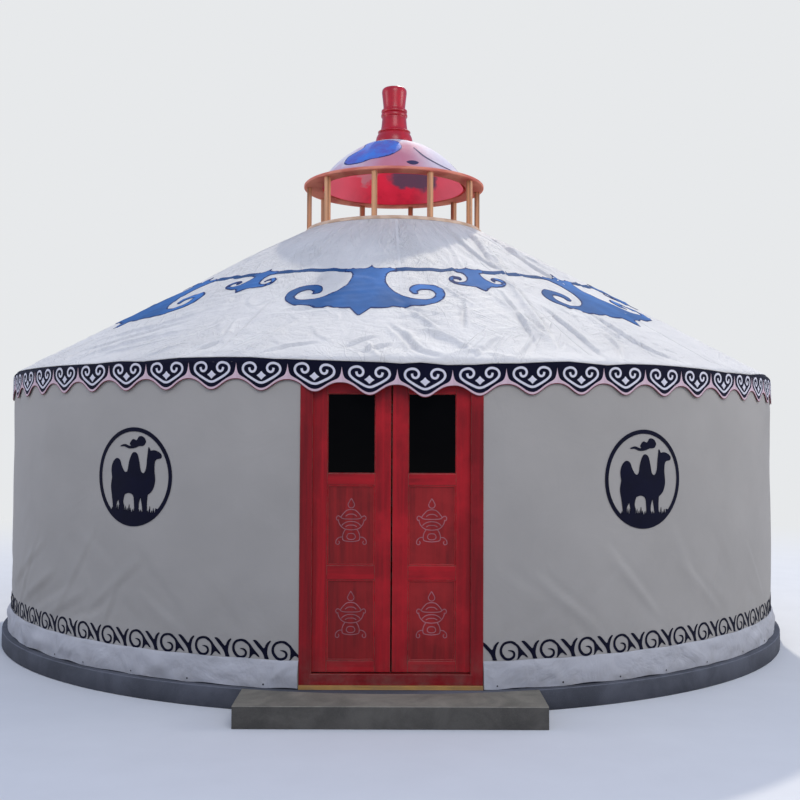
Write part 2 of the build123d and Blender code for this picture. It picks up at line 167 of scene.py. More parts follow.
class Net:
    """Short ways to add nodes to one tree. Each gives the output, or the outputs, of the node that it adds."""

    def __init__(self, tree):
        self.tree = tree

    def feed(self, inputs, values):
        """Sets inputs to values, and links those whose value is another node's output."""
        for key, value in values.items():
            if isinstance(value, bpy.types.NodeSocket):
                self.tree.links.new(value, inputs[key])
            else:
                inputs[key].default_value = value

    def node(self, kind, inputs=None, **settings):
        made = self.tree.nodes.new(kind if "Node" in kind else "ShaderNode" + kind)
        for field, value in settings.items():
            setattr(made, field, value)
        self.feed(made.inputs, inputs or {})
        return made.outputs

    def math(self, operation, a, b=0.0, c=0.0, clamp=False):
        return self.node("Math", {0: a, 1: b, 2: c}, operation=operation, use_clamp=clamp)[0]

    def times(self, a, b, clamp=False):
        return self.math("MULTIPLY", a, b, clamp=clamp)

    def times_plus(self, a, b, c):
        return self.math("MULTIPLY_ADD", a, b, c)

    def vector(self, operation, a, b=(0, 0, 0), c=(0, 0, 0)):
        return self.node("VectorMath", {0: a, 1: b, 2: c}, operation=operation)

    def split(self, vector):
        return self.node("SeparateXYZ", {0: vector})

    def mix(self, share, a, b, mode="MIX"):
        a, b = (v if isinstance(v, bpy.types.NodeSocket) else (*tuple(v)[:3], 1.0) for v in (a, b))
        return self.node("Mix", {0: share, 6: a, 7: b}, data_type="RGBA", blend_type=mode)[2]

    def ease(self, value, low, high):
        """0 at low and 1 at high, with a smooth step between."""
        return self.node("MapRange", {0: value, 1: low, 2: high}, interpolation_type="SMOOTHSTEP")[0]

    def noise(self, where, scale, detail=3.0, rough=0.55, warp=0.0):
        return self.node("TexNoise", {"Vector": where, "Scale": scale, "Detail": detail, "Roughness": rough,
                                      "Distortion": warp})[0]

    def scaled(self, where, scale, shift=(0, 0, 0), turn=0.0):
        return self.node("Mapping", {"Vector": where, "Scale": scale, "Location": shift,
                                     "Rotation": (0, 0, turn)})[0]

    def vary(self, value, around, by):
        """A roughness that moves round one value with a mask."""
        return self.times_plus(value, by, around - by / 2)

    def edge(self):
        return self.node("Attribute", attribute_name="edge")["Fac"]

    def weave(self, where, rumples, rumple_depth, mottles, threads=90.0):
        return self.node("Group", {"Map": where, "Threads": threads, "Rumples": rumples,
                                   "Rumple depth": rumple_depth, "Mottles": mottles}, node_tree=weave_group())

    def worn(self, place, amount, scale):
        return self.node("Group", {"Place": place, "Edge": self.edge(), "Amount": amount, "Scale": scale},
                         node_tree=wear_group())["Mask"]

    def dusty(self, paint, place, dust, tint):
        """Dust over the paint. dust is where it starts, where it ends and how strong it is."""
        mask = self.node("Group", {"Place": place, "From": dust[0], "Up to": dust[1]},
                         node_tree=dust_group())["Mask"]
        return self.mix(self.times(mask, dust[2]), paint, tint)

    def dress(self, paint, rough, height, depth, strength=1.0, **levels):
        """Gives the material's shader its colour, roughness and bump, and other inputs by their short names."""
        bump = self.node("Bump", {"Height": height, "Distance": depth, "Strength": strength})[0]
        self.feed(self.tree.nodes["Principled BSDF"].inputs,
                  {"Base Color": paint, "Roughness": rough, "Normal": bump,
                   **{LEVELS[name]: value for name, value in levels.items()}})


def times_all(base, factor, plus=0.0):
    return [min(1.0, c * factor + plus) for c in base]


def shader_group(name, inputs, outputs, build):
    """A node group, built once. Inputs are numbers with their first values, or vectors where that is None, and the
    outputs are numbers. build(net, inputs) gives the outputs in their order."""
    tree = bpy.data.node_groups.get(name)
    if tree:
        return tree
    tree = bpy.data.node_groups.new(name, "ShaderNodeTree")
    for label, value in inputs.items():
        socket = tree.interface.new_socket(label, in_out="INPUT", socket_type=VECTOR if value is None else FLOAT)
        if value is not None:
            socket.default_value = value
    for label in outputs:
        tree.interface.new_socket(label, in_out="OUTPUT", socket_type=FLOAT)
    given = tree.nodes.new("NodeGroupInput").outputs
    result = tree.nodes.new("NodeGroupOutput").inputs
    for label, value in zip(outputs, build(Net(tree), given)):
        tree.links.new(value, result[label])
    return tree


def weave_group():
    """Threads, soft rumples and mottling of canvas, from a map laid out in metres."""
    def build(net, given):
        where = given["Map"]
        warp, weft = (net.node("TexWave", {"Vector": where, "Scale": given["Threads"], "Distortion": 0.6,
                                           "Detail": 1.0}, bands_direction=way)[1] for way in "XY")
        threads = net.times(warp, weft)
        rumple = net.noise(where, given["Rumples"], 4.0, 0.55, 0.9)
        height = net.times_plus(threads, 0.05, net.times(rumple, given["Rumple depth"]))
        return height, net.noise(where, given["Mottles"], 4.0, 0.6), threads
    return shader_group("canvas_weave", {"Map": None, "Threads": 90.0, "Rumples": 5.0, "Rumple depth": 1.0,
                                         "Mottles": 2.0}, ("Height", "Mottle", "Threads"), build)


def grain_group():
    """Long grain and brush marks along the first direction of a board's map."""
    def build(net, given):
        where, scale = given["Map"], given["Scale"]
        fibre = net.noise(net.scaled(where, (1.2, 26.0, 26.0)), scale, 5.0, 0.6, 0.35)
        pores = net.noise(net.scaled(where, (6.0, 320.0, 320.0)), scale, 2.0, 0.5)
        return fibre, pores
    return shader_group("board_grain", {"Map": None, "Scale": 1.0}, ("Fibre", "Pores"), build)


def wear_group():
    """How much an edge is rubbed, from the mesh's edge attribute broken up by noise."""
    def build(net, given):
        ragged = net.noise(given["Place"], given["Scale"], 4.0, 0.7)
        rubbed = net.times_plus(given["Edge"], given["Amount"], net.math("SUBTRACT", ragged, 1.0))
        return (net.ease(rubbed, 0.0, 0.15),)
    return shader_group("edge_wear", {"Place": None, "Edge": 0.0, "Amount": 0.8, "Scale": 30.0}, ("Mask",), build)


def dust_group():
    """Splashes and dust that are thickest near the ground."""
    def build(net, given):
        low = net.ease(net.split(given["Place"])[2], given["Up to"], given["From"])
        patch = net.noise(given["Place"], 6.0, 5.0, 0.65)
        return (net.times(low, net.ease(patch, 0.35, 0.75), clamp=True),)
    return shader_group("ground_dust", {"Place": None, "From": 0.1, "Up to": 0.5}, ("Mask",), build)


def stone_group():
    """Sand, pits and slow stains of a cement or stone face."""
    def build(net, given):
        place = given["Place"]
        sand = net.noise(place, 260.0, 3.0, 0.7)
        pits = net.node("TexVoronoi", {"Vector": place, "Scale": 70.0})[0]
        stain = net.noise(place, given["Stains"], 5.0, 0.62, 0.5)
        return net.times_plus(sand, 0.5, net.ease(pits, 0.0, 0.22)), stain, sand
    return shader_group("cement_face", {"Place": None, "Stains": 2.5}, ("Height", "Stain", "Sand"), build)


def material(name):
    """An empty material, with its net and where its patterns come from: the object's place, and its map."""
    made = bpy.data.materials.new(name)
    made.use_nodes = True
    coords = made.node_tree.nodes.new("ShaderNodeTexCoord").outputs
    return made, Net(made.node_tree), coords["Object"], coords["UV"]


def cloth(name, base, shade, rumples=5.0, rumple_depth=1.0, depth=0.004, mottles=2.0, dust=None, rough=0.85,
          sheen=0.12, threads=90.0, outlined=None, shine=0.25):
    """Canvas. shade is the darker colour, or its share of the base. outlined is the colour round a figure's edge."""
    made, net, place, flat = material(name)
    out = net.weave(flat, rumples, rumple_depth, mottles, threads)
    darker = times_all(base, shade) if isinstance(shade, float) else shade
    paint = net.mix(net.ease(out["Mottle"], 0.30, 0.72), darker, base)
    paint = net.mix(net.times(out["Threads"], 0.10), paint, (0.25, 0.25, 0.27), "MULTIPLY")
    if dust:
        paint = net.dusty(paint, place, dust, (0.24, 0.20, 0.15))
    if outlined:
        paint = net.mix(net.ease(net.edge(), 0.35, 0.80), paint, outlined)
    net.dress(paint, net.vary(out["Mottle"], rough, 0.12), out["Height"], depth, sheen=sheen, shine=shine)
    return made


def roof_cloth(name, base):
    """Roof canvas: white, with thin dirt that runs down the slope."""
    made, net, _, flat = material(name)
    out = net.weave(flat, 5.5, 1.6, 1.6)
    fine = net.noise(net.scaled(flat, (9.0, 16.0, 9.0)), 1.0, 5.0, 0.62, 1.4)
    # Sharp little creases run where a slow noise passes its middle.
    lines = []
    for stretch, scale, breadth in (((1.0, 2.6, 1.0), 2.4, 0.020), ((2.8, 1.0, 1.0), 1.9, 0.016),
                                    ((1.6, 1.9, 1.0), 5.0, 0.030)):
        wander = net.noise(net.scaled(flat, stretch), scale, 2.5, 0.55, 1.1)
        lines.append(net.ease(net.math("ABSOLUTE", net.math("SUBTRACT", wander, 0.5)), breadth, 0.0))
    creased = net.math("MAXIMUM", lines[0], net.math("MAXIMUM", lines[1], net.times(lines[2], 0.6)))
    creased = net.times(creased, net.ease(net.noise(flat, 1.3, 3.0, 0.6), 0.38, 0.62))
    # Bundles of fine wrinkles run askew to the slope.
    for turn, seat in ((0.95, 1.0), (-0.80, 5.0), (0.35, 9.0)):
        askew = net.scaled(flat, (1, 1, 1), turn=turn)
        wisps = net.noise(net.scaled(askew, (1.7, 21.0, 1.0), (seat, 0, 0)), 1.0, 2.0, 0.5, 0.5)
        bundle = net.noise(net.scaled(askew, (0.9, 1.7, 1.0), (0, seat, 0)), 1.0, 1.5)
        askew = net.times(net.ease(wisps, 0.52, 0.66), net.ease(bundle, 0.52, 0.62))
        creased = net.times_plus(askew, 1.5, creased)
    paint = net.mix(net.ease(out["Mottle"], 0.30, 0.70), times_all(base, 0.92), base)
    runs = net.noise(net.scaled(flat, (14.0, 0.8, 1.0)), 1.0, 5.0, 0.7)
    paint = net.mix(net.times(net.ease(runs, 0.55, 0.80), 0.22), paint, (0.42, 0.40, 0.38))
    height = net.times_plus(creased, 0.35, net.times_plus(fine, 0.9, out["Height"]))
    net.dress(paint, net.vary(out["Mottle"], 0.68, 0.2), height, 0.008, sheen=0.05, shine=0.35)
    return made


def dome_cloth(name):
    """The dome's thin cloth: white, with painted light and shade. A rose glow, painted as if light came through from
    the red lining, lies at the front and back middle and near the rim, and mauve patches lower down are painted shade
    of its folds.
    """
    made, net, place, _ = material(name)
    out = net.weave(place, 9.0, 1.2, 2.2)
    wide = net.noise(place, 2.6, 3.0, 0.55, 0.6)
    apart = net.split(place)
    paint = net.mix(net.ease(out["Mottle"], 0.3, 0.7), (0.66, 0.62, 0.72), (0.85, 0.82, 0.85))
    # Painted light: a rose glow at the front and back middle and all round near the rim.
    middle = net.math("SUBTRACT", 1.0, net.ease(net.math("ABSOLUTE", apart[0]), 0.05, 0.42), clamp=True)
    rose = net.math("MAXIMUM", net.times(middle, net.ease(apart[2], 4.01, 3.90)), net.ease(apart[2], 3.735, 3.66))
    rose = net.times(rose, net.ease(wide, 0.22, 0.52))
    paint = net.mix(net.times(rose, 0.85), paint, (0.66, 0.15, 0.22))
    # Painted shade: mauve patches where the folds lie in shade.
    tinge = net.times(net.ease(wide, 0.52, 0.66), net.ease(apart[2], 3.98, 3.70))
    paint = net.mix(net.times(tinge, 0.5), paint, (0.62, 0.36, 0.52))
    net.dress(paint, net.vary(out["Mottle"], 0.7, 0.2), out["Height"], 0.005, sheen=0.08, shine=0.3)
    return made


def lining_cloth(name, base):
    """The red cloth under the dome, paler pink towards the sides. Its glow is painted light, as if light came through
    it, and it has a painted shadow of a cloud figure on one side and a paler painted patch of light on the other.
    """
    made, net, place, _ = material(name)
    out = net.weave(place, 7.0, 1.4, 3.0)
    drift = net.node("TexNoise", {"Vector": place, "Scale": 5.0, "Detail": 3.0})[1]
    ragged = net.vector("MULTIPLY_ADD", drift, (0.22, 0.22, 0.22), place)[0]
    paint = net.mix(net.ease(out["Mottle"], 0.30, 0.72), times_all(base, 0.6), base)
    beside = net.ease(net.math("ABSOLUTE", net.split(place)[0]), 0.12, 0.50)
    paint = net.mix(net.times(beside, 0.55), paint, (0.80, 0.22, 0.30))
    # Painted shade and light: a dark patch for the shadow of a cloud figure, and a pale one for light.
    for centre, size, share, tint in (((0.30, 0.50, 3.93), (0.25, 0.22, 0.085), 0.9, (0.07, 0.075, 0.13)),
                                      ((-0.26, 0.50, 3.97), (0.26, 0.2, 0.075), 0.6, (0.50, 0.32, 0.38))):
        off = net.vector("DIVIDE", net.vector("SUBTRACT", ragged, centre)[0], size)[0]
        patch = net.ease(net.vector("LENGTH", off)[1], 1.15, 0.85)
        paint = net.mix(net.times(patch, share), paint, tint)
    # The emission is painted light: the cloth glows in its own colour as if lit through.
    net.dress(paint, net.vary(out["Mottle"], 0.75, 0.2), out["Height"], 0.005, shine=0.2, glow=paint, glow_by=0.50)
    return made


def painted_wood(name, base, worn, gloss=0.38, wear=0.75, dust=None, streak=0.35):
    made, net, place, flat = material(name)
    grain = net.node("Group", {"Map": flat}, node_tree=grain_group())
    mask = net.worn(place, wear, 26.0)
    cloudy = net.noise(place, 3.2, 4.0, 0.6)
    dark = times_all(base, 0.55)
    paint = net.mix(net.ease(grain["Fibre"], 0.30, 0.72), dark, base)
    paint = net.mix(net.times(net.ease(cloudy, 0.45, 0.75), 0.8), paint, times_all(base, 1.25, plus=0.004))
    paint = net.mix(net.times(net.ease(grain["Pores"], 0.60, 0.85), streak), paint, dark)
    paint = net.mix(mask, paint, worn)
    if dust:
        paint = net.dusty(paint, place, dust, (0.22, 0.17, 0.13))
    net.dress(paint, net.vary(grain["Fibre"], gloss, 0.22), net.times_plus(grain["Pores"], 0.25, grain["Fibre"]),
              0.0012, 0.7, coat=0.06, coat_rough=0.30, shine=0.25)
    return made


def bare_wood(name, base, ring, gloss=0.5, coat=0.0, along=(26.0, 26.0, 1.2), shine=0.35):
    """Planed wood whose grain follows one direction of the object."""
    made, net, place, _ = material(name)
    turned_map = net.scaled(place, along)
    fibre = net.noise(turned_map, 1.0, 5.0, 0.6, 0.4)
    rings = net.node("TexWave", {"Vector": net.scaled(turned_map, (0.35, 0.35, 0.35)), "Scale": 1.0,
                                 "Distortion": 6.0, "Detail": 3.0}, bands_direction="X")[1]
    pores = net.noise(turned_map, 12.0, 2.0, 0.5)
    paint = net.mix(net.ease(rings, 0.1, 0.9), ring, base)
    paint = net.mix(net.times(net.ease(fibre, 0.35, 0.75), 0.6), paint, times_all(base, 1.3))
    paint = net.mix(net.times(net.ease(pores, 0.62, 0.8), 0.5), paint, times_all(ring, 0.4))
    net.dress(paint, net.vary(fibre, gloss, 0.2), net.times_plus(pores, 0.3, fibre), 0.0010, 0.7, coat=coat,
              shine=shine)
    return made


def lacquer(name, base):
    made, net, place, _ = material(name)
    cloudy = net.noise(place, 9.0, 4.0, 0.6)
    rings = net.noise(net.scaled(place, (2.0, 2.0, 160.0)), 1.0, 3.0, 0.6)
    paint = net.mix(net.ease(cloudy, 0.35, 0.7), times_all(base, 0.75), base)
    paint = net.mix(net.times(net.ease(rings, 0.55, 0.8), 0.35), paint, times_all(base, 0.5))
    net.dress(paint, net.vary(cloudy, 0.34, 0.16), rings, 0.0008, 0.6, coat=0.30, coat_rough=0.28)
    return made


def cement(name, base, stains=2.5, painted_top_light=(1, 1, 1)):
    """Stone or concrete. The faces that look up get a tint, which is painted light on the top faces."""
    made, net, place, _ = material(name)
    out = net.node("Group", {"Place": place, "Stains": stains}, node_tree=stone_group())
    paint = net.mix(net.ease(out["Stain"], 0.30, 0.72), times_all(base, 0.70), times_all(base, 1.35))
    paint = net.mix(net.times(net.ease(out["Sand"], 0.45, 0.8), 0.35), paint, times_all(base, 1.9))
    paint = net.mix(net.times(net.worn(place, 0.85, 18.0), 0.7), paint, times_all(base, 2.0))
    # Painted light: faces that look up are made lighter.
    up = net.split(net.node("NewGeometry")["Normal"])[2]
    paint = net.mix(net.ease(up, 0.5, 0.9), paint, net.mix(1.0, paint, painted_top_light, "MULTIPLY"))
    net.dress(paint, net.vary(out["Stain"], 0.8, 0.2), out["Height"], 0.0025, shine=0.3)
    return made


def dark_glass(name):
    made, net, place, _ = material(name)
    film = net.noise(place, 7.0, 4.0, 0.6)
    paint = net.mix(film, (0.0010, 0.0009, 0.0010), (0.0022, 0.0019, 0.0020))
    net.dress(paint, net.vary(film, 0.16, 0.08), net.noise(place, 2.0, 1.0), 0.002, 0.3, shine=0.04)
    return made


def painted_steel(name):
    made, net, place, _ = material(name)
    cloudy = net.noise(place, 60.0, 4.0, 0.6)
    paint = net.mix(cloudy, (0.03, 0.03, 0.033), (0.09, 0.085, 0.08))
    net.dress(paint, net.vary(cloudy, 0.45, 0.25), cloudy, 0.0004, 0.6, metal=0.6)
    return made


# ---------------------------------------------------------------- flat figures

def smooth(points, per=6, closed=False):
    """A smooth line through points of any number of coordinates."""
    pts = np.asarray(points, float)
    count = len(pts)
    last = count if closed else count - 1
    found = []
    for i in range(last):
        if closed:
            a, b, c, d = (pts[(i + k) % count] for k in (-1, 0, 1, 2))
        else:
            a, b, c, d = (pts[min(max(i + k, 0), count - 1)] for k in (-1, 0, 1, 2))
        for k in range(per):
            t = k / per
            found.append(0.5 * (2 * b + (c - a) * t + (2 * a - 5 * b + 4 * c - d) * t * t
                                + (3 * b - a - 3 * c + d) * t ** 3))
    if not closed:
        found.append(pts[-1])
    return np.array(found)


def outline(*runs, per=5):
    """A closed outline of smooth runs that meet in corners."""
    return np.concatenate([smooth(run, per)[:-1] for run in runs])


def stroke(points, width=None, per=6):
    """The outline of a drawn line. A point is (x, y) or (x, y, width)."""
    pts = np.asarray(points, float)
    if width is not None:
        pts = np.column_stack([pts[:, :2], np.full(len(pts), width)])
    pts = smooth(pts, per)
    ahead = np.gradient(pts[:, :2], axis=0)
    ahead /= np.linalg.norm(ahead, axis=1)[:, None] + 1e-12
    side = np.column_stack([-ahead[:, 1], ahead[:, 0]]) * pts[:, 2:3] / 2
    return np.concatenate([pts[:, :2] + side, (pts[:, :2] - side)[::-1]])


def mirrored(shape):
    """The same outline on the other side of x = 0."""
    return (np.asarray(shape) * (-1, 1))[::-1]


def anticlockwise(shape):
    shape = np.asarray(shape, float)
    x, y = shape.T
    return shape if (x * np.roll(y, -1) - np.roll(x, -1) * y).sum() > 0 else shape[::-1]


def fill(shapes, cell, holes=()):
    """Triangles over closed outlines, with inner points every cell so that they can bend. Holes are cut in the
    first."""
    shapes = [anticlockwise(s) for s in shapes]
    holes = [anticlockwise(h) for h in holes]
    points, faces = [], []
    for shape in shapes + holes:
        faces.append(list(range(len(points), len(points) + len(shape))))
        points.extend(shape.tolist())
    edge = np.array(points)
    low, high = edge.min(0), edge.max(0)
    inner = [(x, y) for j, y in enumerate(np.arange(low[1] + cell / 2, high[1], cell * 0.87))
             for x in np.arange(low[0] + cell * (0.25 + 0.5 * (j % 2)), high[0], cell)]
    if inner:
        inner = np.array(inner)
        gap = np.sqrt(((inner[:, None, :] - edge[None, :, :]) ** 2).sum(-1)).min(1)
        points.extend(inner[gap > cell * 0.4].tolist())
    verts, _, tris, _, _, origin = delaunay_2d_cdt([Vector(p) for p in points], [], faces, 0, 1e-7)
    count = len(shapes)
    kept = [t for t, o in zip(tris, origin) if any(0 < k < count for k in o) or (0 in o and max(o) < count)]
    used = sorted({v for t in kept for v in t})
    index = {v: i for i, v in enumerate(used)}
    flat = np.array([verts[v][:] for v in used])
    turned = []
    for tri in kept:
        a, b, c = (flat[index[v]] for v in tri)
        ccw = (b[0] - a[0]) * (c[1] - a[1]) - (b[1] - a[1]) * (c[0] - a[0]) > 0
        turned.append([index[v] for v in (tri if ccw else tri[::-1])])
    return flat, turned


# ---------------------------------------------------------------- meshes

def add_object(name, mesh):
    made = bpy.data.objects.new(name, mesh)
    bpy.context.scene.collection.objects.link(made)
    return made


def new_piece(name, verts, faces, mat, uv=None, edge=None, smooth_angle=None, wrap=None):
    """A mesh object from arrays. uv has one pair for each vertex, edge one number. wrap is the width of a map that
    meets its own start."""
    mesh = bpy.data.meshes.new(name)
    mesh.from_pydata(np.asarray(verts, float).tolist(), [], [list(map(int, f)) for f in faces])
    if uv is not None:
        layer = mesh.uv_layers.new(name="UVMap")
        corner = np.zeros(len(mesh.loops), dtype=np.int32)
        mesh.loops.foreach_get("vertex_index", corner)
        laid = np.asarray(uv, float).reshape(-1, 2)[corner]
        if wrap:
            sides = [len(f) for f in faces]
            widest = np.maximum.reduceat(laid[:, 0], np.cumsum([0] + sides[:-1]))
            laid[:, 0] += wrap * (np.repeat(widest, sides) - laid[:, 0] > wrap / 2)
        layer.data.foreach_set("uv", laid.ravel())
    if edge is not None:
        mesh.attributes.new("edge", "FLOAT", "POINT").data.foreach_set("value", np.asarray(edge, float))
    mesh.materials.append(mat)
    if smooth_angle is not None:
        mesh.shade_smooth()
        if smooth_angle < 180:
            mesh.set_sharp_from_angle(angle=math.radians(smooth_angle))
    mesh.validate()
    mesh.update()
    return add_object(name, mesh)


def from_bmesh(bm, name, mat):
    mesh = bpy.data.meshes.new(name)
    bm.to_mesh(mesh)
    bm.free()
    mesh.materials.append(mat)
    return add_object(name, mesh)


def grid_faces(rows, columns, closed=False, flip=False):
    """Quads of a grid whose vertices go column after column within a row."""
    j, i = np.meshgrid(np.arange(rows - 1), np.arange(columns if closed else columns - 1), indexing="ij")
    k = (i + 1) % columns
    quads = np.stack([j * columns + i, j * columns + k, (j + 1) * columns + k, (j + 1) * columns + i], -1)
    quads = quads.reshape(-1, 4)
    return (quads[:, ::-1] if flip else quads).tolist()


def shell(name, rings, mat, uv, **look):
    """A closed skin of rings about the upright axis, the last of which meets the first."""
    rings = np.asarray(rings)
    rows, columns = rings.shape[:2]
    faces = grid_faces(rows + 1, columns, closed=True, flip=True)
    faces = [[v % (rows * columns) for v in f] for f in faces]
    return new_piece(name, rings.reshape(-1, 3), faces, mat, uv=uv, **look)


def bar_faces(rows, columns):
    """Faces of a bar with a section of rows points and columns places along it, with both its ends."""
    last = (rows - 1) * columns
    faces = grid_faces(rows, columns)
    faces += [[last + i, last + i + 1, i + 1, i] for i in range(columns - 1)]
    return faces + [[k * columns for k in range(rows)][::-1], [k * columns + columns - 1 for k in range(rows)]]


def map_rows(across, levels):
    """A map's points, row after row: the same places across at each level."""
    return np.concatenate([np.stack([across, np.full(len(across), level)], -1) for level in levels])


def lap(turns, radius):
    """Metres round from the roof's back seam, so that the map's ends meet there."""
    return np.mod(turns + math.pi - SEAM_TURN + 1e-9, TAU) * radius


def around(r, turn, z):
    r, turn, z = np.broadcast_arrays(r, turn, z)
    return np.stack([r * np.sin(turn), -r * np.cos(turn), z], -1)


def plate(name, flat, faces, place, thick, mat, uv=None):
    """A thin raised figure: its face, and the edge that goes down to what it lies on."""
    top = place(flat, thick)
    sides = {(a, b) for f in faces for a, b in zip(f, f[1:] + f[:1])}
    rim = sorted((a, b) for a, b in sides if (b, a) not in sides)
    used = sorted({v for pair in rim for v in pair})
    index = {v: len(top) + i for i, v in enumerate(used)}
    low = place(flat[used], -PLATE_SINK)
    walls = [[a, index[a], index[b], b] for a, b in rim]
    mapped = flat if uv is None else uv
    worn = np.zeros(len(top) + len(used))
    worn[used], worn[len(top):] = 1, 1
    return new_piece(name, np.concatenate([top, low]), list(faces) + walls, mat,
                     uv=np.concatenate([mapped, mapped[used]]), edge=worn, smooth_angle=40)


def ribbon(name, rows, thick, mat):
    """A plate on the roof between lines that run along it. A row holds one line's turns and distances from the axis."""
    flat = np.concatenate([np.stack(row, -1) for row in rows])
    faces = [f[::-1] for f in grid_faces(len(rows), len(rows[0][0]))]
    return plate(name, flat, faces, lambda p, lift: roof_place(p[:, 0], p[:, 1], lift), thick, mat,
                 uv=flat * (RIBBON_MAP_R, 1))


def join(name, parts):
    """One object from several, with the first one's material."""
    bm = bmesh.new()
    mat = parts[0].data.materials[0]
    for part in parts:
        bm.from_mesh(part.data)
    for part in parts:
        bpy.data.objects.remove(part)
    return from_bmesh(bm, name, mat)


def boards(name, sizes, mat, rounding=0.003, seed=1):
    """Planks with rounded edges. Each is a low and a high corner; the grain follows the longest side."""
    bm = bmesh.new()
    uv = bm.loops.layers.uv.new("UVMap")
    worn = bm.verts.layers.float.new("edge")
    rng = np.random.RandomState(seed)
    for low, high in sizes:
        low, high = np.array(low, float), np.array(high, float)
        centre, size = (low + high) / 2, high - low
        matrix = Matrix.Translation(centre.tolist()) @ Matrix.Diagonal((*size.tolist(), 1))
        verts = bmesh.ops.create_cube(bm, size=1.0, matrix=matrix)["verts"]
        edges = list({e for v in verts for e in v.link_edges})
        radius = min(rounding, 0.3 * float(size.min()))
        faces = set(bmesh.ops.bevel(bm, geom=edges, offset=radius, segments=2, profile=0.5,
                                    affect="EDGES")["faces"])
        verts = {v for f in faces for v in f.verts}
        for v in verts:
            flush = any(min(abs(v.co[k] - low[k]), abs(v.co[k] - high[k])) < 1e-6 for k in range(3))
            v[worn] = 0.0 if flush else 1.0
        long, shift = int(np.argmax(size)), rng.uniform(0, 40, 2)
        for f in {f for v in verts for f in v.link_faces}:
            for loop in f.loops:
                co = loop.vert.co
                across = sum(co[k] for k in range(3) if k != long)
                loop[uv].uv = (co[long] + shift[0], across + shift[1])
    return from_bmesh(bm, name, mat)


def turned(name, profile, steps, mat, smooth_angle=40, edge=None):
    """A solid of revolution about the upright axis, from a closed or axis-touching profile of (r, z)."""
    bm = bmesh.new()
    layer = bm.loops.layers.uv.new("UVMap")
    worn = bm.verts.layers.float.new("edge")
    closed = profile[0][0] > 1e-6
    rings = []
    for (r, z), mark in zip(profile, edge or [0.0] * len(profile)):
        if r < 1e-6:
            ring = [bm.verts.new((0, 0, z))] * steps
        else:
            ring = [bm.verts.new((r * math.sin(a), -r * math.cos(a), z))
                    for a in (TAU * i / steps for i in range(steps))]
        for v in ring:
            v[worn] = mark
        rings.append(ring)
    pairs = list(zip(rings, rings[1:])) + ([(rings[-1], rings[0])] if closed else [])
    along = 0.0
    for ring, other in pairs:
        run = (ring[0].co - other[0].co).length
        for i in range(steps):
            k = (i + 1) % steps
            corners = [ring[i], ring[k], other[k], other[i]]
            single = [v for n, v in enumerate(corners) if v not in corners[:n]]
            for loop in bm.faces.new(single).loops:
                at = TAU * (i if loop.vert in (ring[i], other[i]) else i + 1) / steps
                loop[layer].uv = (at, along + (0 if loop.vert in ring else run))
        along += run
    bmesh.ops.recalc_face_normals(bm, faces=bm.faces)
    made = from_bmesh(bm, name, mat)
    made.data.shade_smooth()
    made.data.set_sharp_from_angle(angle=math.radians(smooth_angle))
    return made


def ring_section(inner, outer, low, high, bevel, top=1):
    """The section of a ring with bevelled edges. top is how many times wider the upper outer bevel is."""
    return [(inner + bevel, low), (outer - bevel, low), (outer, low + bevel), (outer, high - top * bevel),
            (outer - top * bevel, high), (inner + bevel, high), (inner, high - bevel), (inner, low + bevel)]


def copies_tree():
    """Geometry Nodes: copies of the given geometry, turned step by step about the upright axis."""
    tree = bpy.data.node_groups.get("copies_round")
    if tree:
        return tree
    tree = bpy.data.node_groups.new("copies_round", "GeometryNodeTree")
    for label, kind in (("Geometry", "NodeSocketGeometry"), ("Copies", "NodeSocketInt"),
                        ("First turn", FLOAT), ("Turn between", FLOAT), ("Material", "NodeSocketMaterial")):
        tree.interface.new_socket(label, in_out="INPUT", socket_type=kind)
    tree.interface.new_socket("Geometry", in_out="OUTPUT", socket_type="NodeSocketGeometry")
    given = tree.nodes.new("NodeGroupInput").outputs
    net = Net(tree)
    points = net.node("GeometryNodePoints", {"Count": given["Copies"]})[0]
    turn = net.times_plus(net.node("GeometryNodeInputIndex")[0], given["Turn between"], given["First turn"])
    placed = net.node("GeometryNodeInstanceOnPoints", {"Points": points, "Instance": given["Geometry"],
                                                       "Rotation": net.node("CombineXYZ", {"Z": turn})[0]})[0]
    real = net.node("GeometryNodeRealizeInstances", {"Geometry": placed})[0]
    done = net.node("GeometryNodeSetMaterial", {"Geometry": real, "Material": given["Material"]})[0]
    tree.links.new(done, tree.nodes.new("NodeGroupOutput").inputs[0])
    return tree


def round_copies(source, name, count, first, step):
    """Repeats an object round the upright axis and gives one plain object."""
    tree = copies_tree()
    modifier = source.modifiers.new("copies", "NODES")
    modifier.node_group = tree
    sockets = {item.name: item.identifier for item in tree.interface.items_tree if item.in_out == "INPUT"}
    for label, value in (("Copies", count), ("First turn", first), ("Turn between", step),
                         ("Material", source.data.materials[0])):
        modifier[sockets[label]] = value
    graph = bpy.context.evaluated_depsgraph_get()
    mesh = bpy.data.meshes.new_from_object(source.evaluated_get(graph), depsgraph=graph)
    mesh.name = name
    bpy.data.objects.remove(source)
    return add_object(name, mesh)


def moved(piece, shift):
    """Moves every vertex by shift(points), an array function."""
    mesh = piece.data
    points = np.zeros(len(mesh.vertices) * 3)
    mesh.vertices.foreach_get("co", points)
    points = points.reshape(-1, 3)
    mesh.vertices.foreach_set("co", (points + shift(points)).ravel())
    mesh.update()
    return piece


def on_body(piece, slot, *nodes, body="yurt"):
    """Puts a piece on its body, and in the place of the nodes that it shows. slot is not used."""
    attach(piece, body)
    if nodes:
        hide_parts(*nodes)
    return piece


# ---------------------------------------------------------------- folds of the cloth

